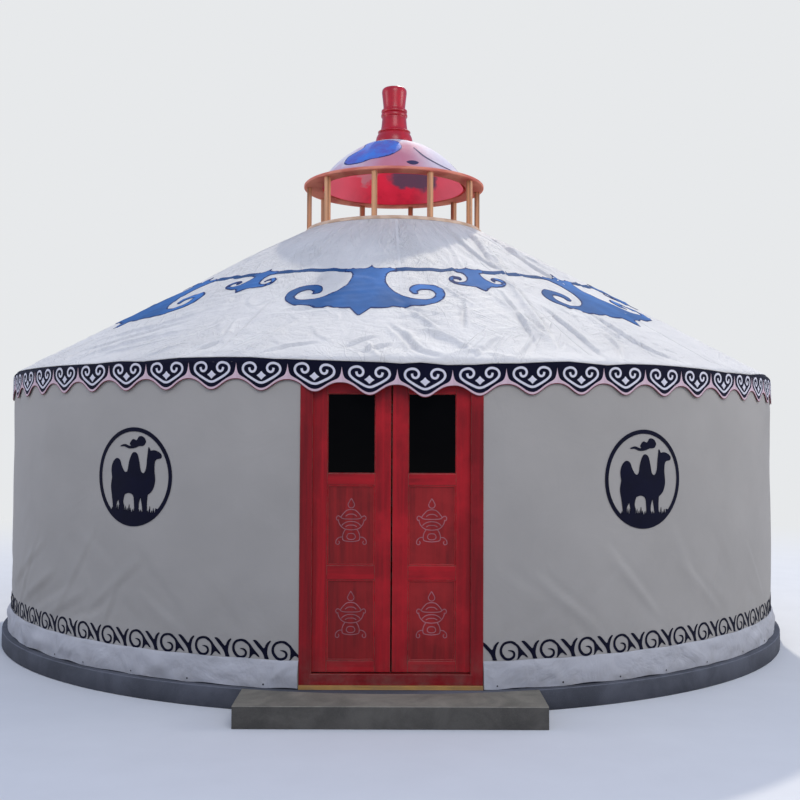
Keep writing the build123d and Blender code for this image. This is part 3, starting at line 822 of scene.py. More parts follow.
def value_noise(u, v, cells_u, cells_v, seed):
    """Smooth noise from -1 to 1. u runs from 0 to 1 and closes on itself, v from 0 to 1."""
    table = np.random.RandomState(seed).uniform(-1, 1, (cells_v + 2, cells_u))
    x, y = np.mod(u, 1.0) * cells_u, np.clip(v, 0, 1) * cells_v
    i, j = np.floor(x).astype(int), np.minimum(np.floor(y).astype(int), cells_v)
    fx, fy = x - i, y - j
    fx, fy = fx * fx * (3 - 2 * fx), fy * fy * (3 - 2 * fy)
    a, b = i % cells_u, (i + 1) % cells_u
    low = table[j, a] * (1 - fx) + table[j, b] * fx
    high = table[j + 1, a] * (1 - fx) + table[j + 1, b] * fx
    return low * (1 - fy) + high * fy


class Relief:
    """Heights of a cloth over its plain surface, kept on a grid of turns and of places along it. radius is the
    cloth's, or none where the places themselves are radii."""

    def __init__(self, turns, rows, low, high, radius=None):
        self.turns, self.columns, self.rows = turns, len(turns), rows
        self.low, self.high, self.radius = low, high, radius
        self.places = np.linspace(low, high, rows)
        self.along, self.turn = np.meshgrid(self.places, self.turns, indexing="ij")
        self.height = np.zeros((rows, self.columns))

    def at(self, turn, along):
        ahead = np.mod(turn - self.turns[0], TAU)
        x = np.interp(ahead, self.turns - self.turns[0], np.arange(self.columns))
        y = np.clip((along - self.low) / (self.high - self.low), 0, 1) * (self.rows - 1)
        i = np.minimum(np.floor(x).astype(int), self.columns - 2)
        j = np.minimum(np.floor(y).astype(int), self.rows - 2)
        fx, fy, h = x - i, y - j, self.height
        low, high = (h[k, i] * (1 - fx) + h[k, i + 1] * fx for k in (j, j + 1))
        return low * (1 - fy) + high * fy

    def fold(self, path, width, height, steep=0.45):
        """Adds a crease along a path of (turn in degrees, place). One side is steep and has a hollow beside it."""
        path = np.asarray(path, float)
        path = smooth(path, 4) if len(path) > 2 else path
        middle, reach = math.radians(path[:, 0].mean()), 5 * width
        near = self.radius or max(float(path[:, 1].min()), 0.3)
        gap = np.mod(self.turns - middle + math.pi, TAU) - math.pi
        wide = np.abs(np.radians(path[:, 0]) - middle).max() + reach / near
        cols = np.where(np.abs(gap) < wide)[0]
        rows = np.where((self.places > path[:, 1].min() - reach) & (self.places < path[:, 1].max() + reach))[0]
        if not len(cols) or not len(rows):
            return
        y = self.places[rows][:, None] + 0 * gap[cols][None, :]
        x = gap[cols][None, :] * (self.radius or y)
        px = (np.radians(path[:, 0]) - middle) * (self.radius or path[:, 1])
        lengths = np.hypot(np.diff(px), np.diff(path[:, 1]))
        total, done = lengths.sum(), 0.0
        nearest, side, share = np.full(x.shape, 9.9), np.ones(x.shape), np.zeros(x.shape)
        for k, run in enumerate(lengths):
            wx, wy = (px[k + 1] - px[k]) / run, (path[k + 1, 1] - path[k, 1]) / run
            t = (x - px[k]) * wx + (y - path[k, 1]) * wy
            off = (y - path[k, 1]) * wx - (x - px[k]) * wy
            away = np.hypot(off, t - np.clip(t, 0, run))
            closer = away < nearest
            nearest = np.where(closer, away, nearest)
            side = np.where(closer, np.sign(off), side)
            share = np.where(closer, (done + np.clip(t, 0, run)) / total, share)
            done += run
        off = nearest * side
        ridge = np.where(off > 0, np.exp(-(np.maximum(off, 0) / (1.5 * width)) ** 1.4),
                         np.exp(-(np.minimum(off, 0) / (steep * width)) ** 2))
        ridge -= 0.40 * np.exp(-((off + 1.4 * width) / (0.8 * width)) ** 2)
        taper = np.sin(np.pi * (0.06 + 0.88 * share)) ** 0.7
        self.height[np.ix_(rows, cols)] += height * taper * ridge


RELIEF = {}


def roof_relief(depth):
    """Creases of the roof canvas. Places are metres out from the axis. The grid is finer in front."""
    first, middle, last = (SEAM_TURN + quarter * math.pi / 2 for quarter in (-1, 1, 3))
    turns = np.concatenate([np.linspace(first, middle, 760, endpoint=False), np.linspace(middle, last, 361)])
    relief = Relief(turns, 150, ROOF_IN_R, EAVE_R)
    turn, r = relief.turn, relief.along
    u, v = turn / TAU, (r - ROOF_IN_R) / (EAVE_R - ROOF_IN_R)
    h = 0.5 * depth * value_noise(u, v, 26, 4, 11) + 0.35 * depth * value_noise(u, v, 60, 9, 12)
    h += 0.16 * depth * value_noise(u, v, 170, 24, 13)
    h -= 0.22 * depth * np.cos(64 * turn) * np.clip(1.25 - v, 0, 1)
    relief.height = h
    rng = np.random.RandomState(21)
    for _ in range(420):
        out = EAVE_R - abs(rng.normal(0, 0.70))
        if out < 1.0:
            continue
        at, lean = rng.uniform(0, 360), rng.choice([-1, 1]) * rng.uniform(10, 75)
        run = rng.uniform(0.10, 0.50)
        across = math.degrees(run * math.sin(math.radians(lean)) / out)
        down = run * math.cos(math.radians(lean))
        bend = rng.uniform(-0.2, 0.2)
        relief.fold([(at, out), (at + across * (0.5 + bend), out - down * (0.5 - bend)),
                     (at + across, max(out - down, 0.85))], rng.uniform(0.012, 0.030),
                    rng.uniform(0.12, 0.55) * depth * rng.choice([-1, 1, 1]))
    # Slack between the seams makes long pleats from the lantern, and rows of wrinkles that cross a gore.
    for k in range(SEAMS):
        seam = math.degrees(SEAM_TURN) + 360 / SEAMS * k
        for _ in range(5):
            at = seam + rng.uniform(2, 20)
            relief.fold([(at, 0.80), (at + rng.uniform(-3, 3), 1.25),
                         (at + rng.uniform(-7, 7), rng.uniform(1.5, 2.1))],
                        rng.uniform(0.014, 0.024), rng.uniform(0.25, 0.6) * depth)
        at, out, way = seam + rng.uniform(0, 6), rng.uniform(2.35, 2.85), rng.choice([-1, 1])
        for j in range(6):
            place = out - 0.085 * j
            relief.fold([(at, place), (at + 7, place - 0.05 * way), (at + rng.uniform(12, 20), place - 0.13 * way)],
                        rng.uniform(0.012, 0.020), rng.uniform(0.2, 0.45) * depth)
    for path, width, share in HARD_FOLDS:
        relief.fold(path, 0.75 * width, 1.7 * share * depth)
    h = relief.height
    for k in range(SEAMS):
        off = (np.mod(turn - SEAM_TURN - TAU * k / SEAMS + math.pi, TAU) - math.pi) * r
        pull = 1 + 0.35 * value_noise(u, v, 3, 30, 30 + k)
        h -= 0.30 * depth * np.exp(-(off / 0.030) ** 2) * pull
        h += 0.12 * depth * np.exp(-(off / 0.11) ** 2) * np.sin(TAU * r / 0.14 + k) * np.clip(v * 3, 0, 1)
    h *= np.clip(v / 0.03, 0, 1)
    relief.height = np.clip(h + 0.0035, -0.0105, 0.027)
    return relief


# Paths of (turn in degrees, metres from the axis), width, and height as a share of the crease depth.
HARD_FOLDS = [
    ([(0.4, 2.635), (1.7, 2.764), (2.9, 2.911), (5.5, 2.99)], 0.030, -2.0),
    ([(-0.6, 2.60), (0.9, 2.75), (2.2, 2.90), (4.0, 2.99)], 0.022, 1.3),
    ([(2.9, 2.387), (4.4, 2.50), (5.9, 2.603)], 0.022, 1.4), ([(3.6, 2.62), (6.5, 2.72), (9.5, 2.90)], 0.026, 1.5),
    ([(9.2, 1.953), (11.0, 2.13), (13.0, 2.28)], 0.020, 0.9),
    ([(11.4, 2.285), (10.4, 2.45), (9.4, 2.623)], 0.020, -1.3),
    ([(-5.3, 2.865), (-4.0, 2.79), (-2.5, 2.74)], 0.020, -1.1),
    ([(-3.5, 2.949), (-2.0, 2.88), (-0.5, 2.84)], 0.022, -1.3),
    ([(-2.8, 2.815), (-2.0, 2.93), (-1.2, 2.99)], 0.018, 1.0),
    ([(9.4, 2.974), (11.2, 2.86), (13.1, 2.744)], 0.024, -1.3),
    ([(6.0, 2.97), (8.5, 2.90), (11.0, 2.93), (14.0, 2.98)], 0.022, 1.2),
    ([(28.4, 0.80), (24.7, 1.276), (26.3, 1.657)], 0.028, -1.7),
    ([(26.0, 0.80), (22.5, 1.25), (24.5, 1.62)], 0.022, 1.0),
    ([(39.2, 0.98), (33.0, 1.30), (28.8, 1.575), (26.5, 1.755)], 0.028, 1.5),
    ([(37.0, 0.95), (30.5, 1.28), (26.8, 1.52)], 0.022, -1.3),
    ([(51.5, 1.022), (46.0, 1.28), (42.6, 1.527), (42.4, 1.789)], 0.028, -1.6),
    ([(49.0, 1.099), (48.8, 1.32), (48.6, 1.546), (51.1, 1.653)], 0.024, 1.3),
    ([(25.1, 1.797), (23.8, 2.03), (22.5, 2.274), (20.1, 2.824)], 0.026, 1.8),
    ([(18.0, 2.082), (19.1, 2.346), (20.1, 2.722)], 0.022, 1.1),
    ([(20.3, 2.056), (18.9, 2.459), (17.7, 2.82)], 0.020, -1.1),
    ([(25.5, 2.293), (25.7, 2.55), (25.5, 2.816), (25.3, 2.95)], 0.024, -1.2),
    ([(34.8, 2.326), (35.0, 2.723), (38.0, 2.954)], 0.026, -1.2),
    ([(32.5, 2.30), (33.0, 2.70), (35.5, 2.95)], 0.022, 1.0),
    ([(-50.2, 2.65), (-44.0, 2.55), (-38.0, 2.478), (-30.4, 2.265)], 0.022, 1.1),
    ([(-45.1, 2.911), (-37.8, 2.717), (-30.8, 2.619), (-28.2, 2.552)], 0.024, 1.2),
    ([(-48.0, 2.80), (-40.0, 2.62), (-32.0, 2.46)], 0.018, -0.8),
    ([(-42.0, 2.95), (-35.5, 2.80), (-29.0, 2.70)], 0.018, 0.9),
    ([(-31.7, 2.98), (-29.0, 2.88), (-26.6, 2.764)], 0.022, 1.0), ([(-23.6, 2.872), (-22.1, 2.779)], 0.022, -1.0),
    ([(-21.9, 2.732), (-22.6, 2.62), (-23.3, 2.511)], 0.022, 0.9),
    ([(-52.0, 1.42), (-53.0, 1.28), (-54.2, 1.139)], 0.020, 0.9),
    ([(-19.0, 2.98), (-16.0, 2.80), (-13.5, 2.50)], 0.022, 0.9),
    ([(-15.0, 2.95), (-12.0, 2.86), (-9.0, 2.82)], 0.018, -0.8),
    ([(14.0, 2.98), (16.5, 2.84), (19.0, 2.70)], 0.020, -1.0),
    ([(28.0, 2.97), (30.0, 2.80), (31.0, 2.62)], 0.020, 1.0)]


def roof_place(turn, r, lift):
    """Points on the roof canvas. A turn and a distance from the axis give the place, lift goes along the normal."""
    rise = RELIEF["roof"].at(turn, r) + lift
    return around(r + rise * ROOF_FALL / ROOF_SLANT, turn,
                  EAVE_Z + (EAVE_R - r) * ROOF_FALL + rise / ROOF_SLANT)


def wall_relief(depth):
    """Folds of the wall canvas. Places are heights. The grid is finer in front."""
    turns = np.concatenate([np.linspace(DOOR_TURN, 1.3, 300, endpoint=False),
                            np.linspace(1.3, TAU - 1.3, 210, endpoint=False),
                            np.linspace(TAU - 1.3, TAU - DOOR_TURN, 300)])
    relief = Relief(turns, 76, FLOOR_Z + 0.01, WALL_TOP, WALL_R)
    turn, z = relief.turn, relief.along
    u, v = turn / TAU, (z - relief.low) / (relief.high - relief.low)
    h = 0.7 * depth * value_noise(u, v, 30, 3, 41) + 0.35 * depth * value_noise(u, v, 80, 8, 42)
    h += 0.25 * depth * value_noise(u + 0.15 * v, v, 46, 2, 43)
    relief.height = h
    rng = np.random.RandomState(44)
    for _ in range(95):
        at, low = rng.uniform(0, 360), FLOOR_Z + abs(rng.normal(0.0, 0.40)) + 0.05
        lean = rng.choice([-1, 1]) * rng.uniform(30, 65)
        run = rng.uniform(0.18, 0.60)
        across = math.degrees(run * math.sin(math.radians(lean)) / WALL_R)
        relief.fold([(at, low), (at + across, low + run * math.cos(math.radians(lean)))],
                    rng.uniform(0.032, 0.055), rng.uniform(0.2, 0.6) * depth * rng.choice([-1, 1]), 0.8)
    for start_at, end_at, share in [((-40, 0.42), (-30, 0.80), 0.8), ((-46, 0.40), (-38, 0.95), 0.6),
                                    ((-24, 0.40), (-30, 0.60), 0.6), ((-60, 0.35), (-52, 0.90), 0.7),
                                    ((-58, 0.40), (-47, 0.66), 1.1), ((-54, 0.38), (-43, 0.60), -1.0),
                                    ((-49, 0.36), (-40, 0.56), 1.0), ((-63, 0.50), (-50, 0.84), 0.9),
                                    ((-44, 0.36), (-36, 0.50), -0.9), ((-36, 0.40), (-34, 0.62), 0.8),
                                    ((24, 0.42), (16, 0.75), 0.7), ((33, 0.45), (25, 0.90), 0.7),
                                    ((45, 0.42), (36, 0.80), 0.6), ((60, 0.45), (52, 0.85), 0.6)]:
        relief.fold([start_at, end_at], 0.028, 1.2 * share * depth, 0.7)
    ends = np.minimum(turn - DOOR_TURN, TAU - DOOR_TURN - turn) * WALL_R
    h *= np.clip(ends / 0.12, 0, 1) * np.clip((relief.high - z) / 0.05 + 0.2, 0, 1)
    # Under the valance the canvas lies back.
    relief.height = np.minimum(np.clip(h, -0.010, 0.010), 0.010 * np.clip((1.79 - z) / 0.10, 0, 1))
    return relief


def wall_place(turn, z, lift):
    return around(WALL_R + RELIEF["wall"].at(turn, z) + lift, turn, z)


def by_turn(table, turn):
    """A value from a table of (turn in degrees, value)."""
    turns, values = np.array(table).T
    return np.interp(np.mod(np.degrees(turn) + 180, 360) - 180, turns, values)


def eave_place(turn, along, lift):
    """Points on the cloth that goes over the eave: metres from where it leaves the roof's slope."""
    line = smooth(EAVE_LINE, 4)
    ahead = np.gradient(line, axis=0)
    ahead /= np.linalg.norm(ahead, axis=1)[:, None]
    run = np.concatenate([[0], np.cumsum(np.linalg.norm(np.diff(line, axis=0), axis=1))])
    r, z, ar, az = (np.interp(along, run, values) for values in (*line.T, *ahead.T))
    return around(r - az * lift, turn, z + ar * lift)


def scallop_edge(turn):
    """Height of the valance's lower edge. The tips hang lower than the hollows between them."""
    swing = np.cos((turn - VALANCE_TURN) * SCALLOPS)
    return EAVE_Z - 0.151 - 0.033 * swing - 0.004 * np.cos(2 * (turn - VALANCE_TURN) * SCALLOPS)


def valance_out(turn, z):
    """How far the valance stands out: it waves a little and its tips swing free."""
    low = np.clip((EAVE_Z - z) / 0.184, 0, 1)
    wave = value_noise(turn / TAU, low, 47, 1, 51) + 0.5 * value_noise(turn / TAU, low, 131, 1, 52)
    tip = 0.5 + 0.5 * np.cos((turn - VALANCE_TURN) * SCALLOPS)
    return 0.0015 + low * (0.0013 * wave + 0.0025 * tip * low + 0.0012)


def valance_place(turn, z, lift):
    sag = by_turn(VALANCE_SAG, turn)
    return around(VALANCE_R + valance_out(turn, z) + lift, turn, z - sag)


# ---------------------------------------------------------------- patterns, most of them in millimetres

def spiral_arm(side):
    """One half of the valance's scroll: from the V up and round into its spiral."""
    line = [(0, 143), (17, 140), (36, 131), (56, 120), (80, 106), (100, 91), (112, 76), (114, 57), (103, 39), (80, 30),
            (58, 31), (42, 41), (35, 57), (41, 74), (56, 81), (70, 74), (75, 57)]
    return [(side * x, -y) for x, y in line]


def valance_figures(line_width):
    whole = [(-x, y) for x, y in spiral_arm(1)][::-1] + spiral_arm(1)[1:]
    diamond = outline([(0, -76), (13, -90), (29, -101)], [(29, -101), (13, -113), (0, -126)],
                      [(0, -126), (-13, -113), (-29, -101)], [(-29, -101), (-13, -90), (0, -76)], per=2)
    return [stroke(whole, line_width * 1000, per=5), diamond]


def band_figures():
    """One unit of the scroll band, from the flattened drawing: a spiral with a forked tail, and a slanting Y."""
    hook = stroke([(144, 221, 2), (160, 219.5, 8), (175, 213, 12), (181.5, 200, 13), (177.5, 185, 14),
                   (165, 175.5, 14), (147.5, 171.5, 14), (128, 176, 15), (113, 190, 16), (103, 207, 16),
                   (101, 228, 15), (108, 247, 14), (122, 261, 13.5), (140, 267.5, 13), (158, 269, 13),
                   (174, 265, 15), (186, 257.5, 16)], per=4)
    tail = outline([(186, 266), (206, 250), (222, 230), (240, 210), (256, 193), (266, 177)],
                   [(266, 177), (252, 182), (242, 190), (231, 194)],
                   [(231, 194), (222, 188), (214, 178), (206, 170), (196, 168)],
                   [(196, 168), (202, 178), (204, 192), (205, 212), (202, 230), (194, 243), (182, 252)],
                   [(182, 252), (182, 260), (186, 266)])
    fork = outline([(-20, 271), (-8, 258), (10, 237), (27, 219), (39, 203), (47, 187), (51, 171)],
                   [(51, 171), (64, 168.5), (78, 170)],
                   [(78, 170), (70, 190), (67.5, 208), (70, 228), (77, 250), (90, 270)],
                   [(90, 270), (85, 273.5), (82, 273)],
                   [(82, 273), (70, 264), (59, 250), (53, 235), (46, 229)],
                   [(46, 229), (40, 234), (25, 250), (11, 264), (-2, 273.5)],
                   [(-2, 273.5), (-12, 274), (-20, 271)], per=4)
    return [hook, tail, fork]


# Halves of the roof's two cloud figures in plan: across from the middle, and out from the axis.
BIG_CLOUD = [[(0, 1667), (9, 1692), (28, 1712), (58, 1722), (110, 1716)],
         [(110, 1716), (128, 1704), (146, 1716), (175, 1714)],
         [(175, 1714), (180, 1738), (178, 1762)],
         [(178, 1762), (145, 1766), (126, 1790), (118, 1830), (117, 1885), (128, 1960), (156, 2030), (200, 2095),
          (258, 2148), (320, 2180), (385, 2184), (436, 2160), (458, 2110), (448, 2060), (414, 2030), (372, 2032),
          (346, 2062), (350, 2100)],
         [(350, 2100), (330, 2112), (308, 2104)],
         [(308, 2104), (286, 2060), (292, 2005), (330, 1960), (390, 1942), (452, 1958), (502, 2008), (524, 2080),
          (512, 2160), (470, 2226), (404, 2272), (330, 2296)],
         [(330, 2296), (290, 2312), (246, 2318), (208, 2312)],
         [(208, 2312), (160, 2338), (110, 2350), (66, 2348)],
         [(66, 2348), (48, 2378), (26, 2416), (4, 2452)]]

SMALL_CLOUD = [[(0, 1664), (14, 1690), (34, 1706), (62, 1712)],
            [(62, 1712), (78, 1704), (100, 1712)],
            [(100, 1712), (104, 1736), (100, 1762)],
            [(100, 1762), (72, 1772), (62, 1800), (62, 1842), (74, 1886), (100, 1922), (136, 1936), (164, 1922),
             (172, 1896), (158, 1876), (138, 1880), (132, 1900)],
            [(132, 1900), (120, 1904), (110, 1890)],
            [(110, 1890), (112, 1858), (136, 1836), (168, 1838), (194, 1862), (202, 1900), (190, 1942), (160, 1974),
             (124, 1988)],
            [(124, 1988), (96, 1996), (66, 1994)],
            [(66, 1994), (44, 2012), (22, 2040), (3, 2066)]]


def whole_figure(half):
    """A closed outline from its right half, which runs from the top to the bottom."""
    right = outline(*half, per=4)
    left = mirrored(right)
    return np.concatenate([right, left[:-1]]) * (1, -1) / 1000


def medallion_figures():
    """A ring with a two-humped camel on grass under a small cloud, drawn on a circle of radius 1."""
    scale = 0.298
    turns = np.linspace(0, TAU, 96, endpoint=False)
    circle = np.stack([np.cos(turns), np.sin(turns)], -1)
    camel = outline(
        # From the rump over both humps to the head, which looks right.
        [(-0.60, -0.02), (-0.62, 0.14), (-0.58, 0.28), (-0.48, 0.37), (-0.38, 0.34), (-0.31, 0.20), (-0.23, 0.10),
         (-0.15, 0.12), (-0.11, 0.30), (-0.04, 0.46), (0.04, 0.50), (0.12, 0.44), (0.17, 0.28), (0.21, 0.12),
         (0.29, 0.08), (0.35, 0.18), (0.37, 0.36), (0.39, 0.50)],
        [(0.39, 0.50), (0.41, 0.60), (0.46, 0.53)],
        [(0.46, 0.53), (0.56, 0.54), (0.68, 0.50), (0.74, 0.44), (0.72, 0.38), (0.62, 0.36), (0.57, 0.30),
         (0.56, 0.14), (0.58, -0.08), (0.52, -0.26), (0.40, -0.36)],
        [(0.40, -0.36), (0.385, -0.55), (0.40, -0.76)],
        [(0.40, -0.76), (0.28, -0.77)],
        [(0.28, -0.77), (0.26, -0.58), (0.22, -0.40)],
        [(0.22, -0.40), (0.17, -0.56), (0.18, -0.77)],
        [(0.18, -0.77), (0.06, -0.77)],
        [(0.06, -0.77), (0.05, -0.56), (0.02, -0.38), (-0.10, -0.33), (-0.22, -0.36)],
        [(-0.22, -0.36), (-0.26, -0.50), (-0.23, -0.62), (-0.24, -0.77)],
        [(-0.24, -0.77), (-0.35, -0.77)],
        [(-0.35, -0.77), (-0.36, -0.62), (-0.40, -0.46)],
        [(-0.40, -0.46), (-0.46, -0.58), (-0.44, -0.76)],
        [(-0.44, -0.76), (-0.55, -0.74)],
        [(-0.55, -0.74), (-0.57, -0.56), (-0.60, -0.38), (-0.63, -0.20), (-0.60, -0.02)], per=4)
    grass = []
    rng = np.random.RandomState(81)
    floor_line = -0.72
    for x in np.arange(-0.62, 0.70, 0.055):
        tall = rng.uniform(0.05, 0.17)
        grass += [(x, floor_line + rng.uniform(-0.01, 0.01)),
                  (x + 0.028 + rng.uniform(-0.02, 0.02), floor_line + tall)]
    grass.append((0.70, floor_line))
    arc = [(0.95 * math.sin(a), -0.95 * math.cos(a)) for a in np.linspace(0.78, -0.72, 24)]
    ground = np.array([p for p in grass if math.hypot(*p) < 0.95] + arc)
    puff = smooth([(-0.10, 0.66), (-0.02, 0.76), (0.08, 0.74), (0.16, 0.82), (0.27, 0.80), (0.33, 0.71), (0.27, 0.63),
                   (0.14, 0.62), (0.02, 0.60)], 5, closed=True)
    wisp = stroke([(0.16, 0.635, 0.02), (0.02, 0.605, 0.05), (-0.12, 0.60, 0.055), (-0.24, 0.635, 0.05),
                   (-0.36, 0.62, 0.02)])
    return [shape * scale for shape in (circle, camel, ground, puff[::-1], wisp)], 0.03, [circle * 0.917 * scale]


def dome_figures():
    """The dome's figures, each point a turn in radians and a share of the way from the finial to the rim."""
    cloud = smooth([(-47, 0.79), (-49, 0.66), (-46, 0.59), (-42, 0.53), (-40, 0.42), (-50, 0.24), (-46, 0.13),
                    (-24, 0.16), (-7, 0.17), (6, 0.26), (9, 0.46), (6, 0.57), (1, 0.65), (-4, 0.72), (-12, 0.77),
                    (-20, 0.79), (-26, 0.83), (-32, 0.85), (-41, 0.84)], 4, closed=True)
    spot = smooth([(10, 0.85), (13, 0.82), (17, 0.82), (20, 0.85), (18, 0.885), (14, 0.895)], 4, closed=True)
    line = stroke([(22, 49, 1.2), (24.5, 60, 2.0), (27, 68, 2.4), (31, 74, 2.6), (36, 79, 2.6), (42, 83.5, 2.4),
                   (49, 87, 2.0), (57, 90, 1.2)]) * (1, 0.01)
    return [shape * (math.pi / 180, 1) for shape in (cloud, spot, line)]


def ornament_lines():
    """A covered jewel on a leafy stand, in single lines, 1 high and centred on x = 0."""
    right = [
        [(0.0, 1.00), (0.045, 0.93), (0.075, 0.865), (0.05, 0.81), (0.0, 0.79)],
        [(0.0, 0.76), (0.10, 0.74), (0.19, 0.66), (0.235, 0.585), (0.16, 0.555), (0.0, 0.55)],
        [(0.0, 0.66), (0.07, 0.65), (0.13, 0.61)],
        [(0.235, 0.585), (0.30, 0.62), (0.345, 0.585), (0.33, 0.53), (0.285, 0.535)],
        [(0.30, 0.52), (0.27, 0.44), (0.21, 0.37), (0.13, 0.33), (0.0, 0.315)],
        [(0.0, 0.50), (0.09, 0.49), (0.17, 0.455), (0.22, 0.41)],
        [(0.0, 0.42), (0.07, 0.415), (0.13, 0.385)],
        [(0.13, 0.33), (0.18, 0.25), (0.20, 0.16), (0.17, 0.085), (0.0, 0.06)],
        [(0.20, 0.16), (0.28, 0.15), (0.345, 0.09), (0.35, 0.02), (0.30, 0.0), (0.27, 0.04), (0.29, 0.075)],
        [(0.0, 0.24), (0.07, 0.225), (0.10, 0.16), (0.06, 0.115), (0.0, 0.105)],
    ]
    return right + [[(-x, y) for x, y in line] for line in right]


# The finial's profile from its foot up: points of (radius, height) and how many steps between two of them.
FINIAL_RUNS = [([(156, 0), (156, 10), (154, 30), (149, 50), (142, 66), (136, 75), (133, 79)], 3),
               ([(129, 81), (129, 84), (135, 88), (138, 93), (136, 99), (131, 102)], 3),
               ([(124, 104), (116, 111), (111, 126), (107, 156), (104, 190), (101, 216)], 4),
               ([(102, 220), (109, 224), (111.5, 236), (109, 248), (102, 253)], 4),
               ([(101, 256), (107, 260), (109.5, 271), (107, 282), (99, 287)], 4),
               ([(94, 290), (92, 296), (93, 320), (97, 360), (102, 404), (105, 432), (104, 448), (99, 461), (87, 471),
                 (60, 475.5), (0, 476)], 4)]


# ---------------------------------------------------------------- operators

class YURT_OT_stage(bpy.types.Operator):
    """Makes the camera, the lights, the floor and the backdrop"""
    bl_idname = "yurt.stage"
    bl_label = "Stage"

    def execute(self, context):
        scene = context.scene
        scene.view_settings.view_transform = "Standard"
        pitch, roll, yaw = 0.0325717720, 0.00463863366, 0.0050
        level = Vector((math.cos(yaw), -math.sin(yaw), 0))
        ahead = Vector((math.sin(yaw) * math.cos(pitch), math.cos(yaw) * math.cos(pitch), math.sin(pitch)))
        upright = level.cross(ahead)
        right = math.cos(roll) * level + math.sin(roll) * upright
        up = math.cos(roll) * upright - math.sin(roll) * level
        data = bpy.data.cameras.new("camera")
        data.lens, data.sensor_width, data.clip_end = 48.98, 36.0, 200
        camera = add_object("camera", data)
        camera.matrix_world = Matrix(((right.x, up.x, -ahead.x, 0.01392), (right.y, up.y, -ahead.y, -9.150),
                                      (right.z, up.z, -ahead.z, 1.55387), (0, 0, 0, 1)))
        scene.camera = camera

        world = scene.world = bpy.data.worlds.new("sky")
        world.use_nodes = True
        net = Net(world.node_tree)
        path = net.node("LightPath")
        seen = net.math("ADD", path["Is Camera Ray"], path["Is Transmission Ray"], clamp=True)
        net.feed(world.node_tree.nodes["Background"].inputs, {0: net.mix(seen, SKY_LIGHT, BACKDROP)})

        for name, at, aim, size, power, tint in LAMPS:
            light = bpy.data.lights.new(name, "AREA")
            light.shape, light.size, light.energy, light.color = "DISK", size, power, tint
            lamp = add_object(name, light)
            lamp.location = at
            lamp.rotation_euler = (Vector(aim) - Vector(at)).to_track_quat("-Z", "Y").to_euler()

        # Far from the yurt the floor turns into the backdrop's colour, so that no horizon shows.
        floor_mat, net, place, _ = material("studio_floor")
        path = net.node("LightPath")
        seen = net.math("ADD", path["Is Camera Ray"], path["Is Glossy Ray"], clamp=True)
        seen = net.math("ADD", seen, path["Is Transmission Ray"], clamp=True)
        far = net.times(net.ease(net.vector("LENGTH", place)[1], 4.5, 13.0), seen)
        pale = net.mix(net.noise(place, 3.0, 4.0), (0.70, 0.705, 0.71), (0.76, 0.765, 0.77))
        black = (0.0, 0.0, 0.0)
        net.feed(net.tree.nodes["Principled BSDF"].inputs, {
            "Base Color": net.mix(far, net.mix(seen, (0.42, 0.405, 0.385), pale), black),
            "Emission Color": net.mix(far, black, BACKDROP),
            "Emission Strength": 1.0, "Roughness": 1.0, "Specular IOR Level": 0.0})
        corners = [(x * 60, y * 60, -0.0005) for x, y in ((-1, -1), (1, -1), (1, 1), (-1, 1))]
        new_piece("studio_floor", corners, [(0, 1, 2, 3)], floor_mat)
        return {"FINISHED"}


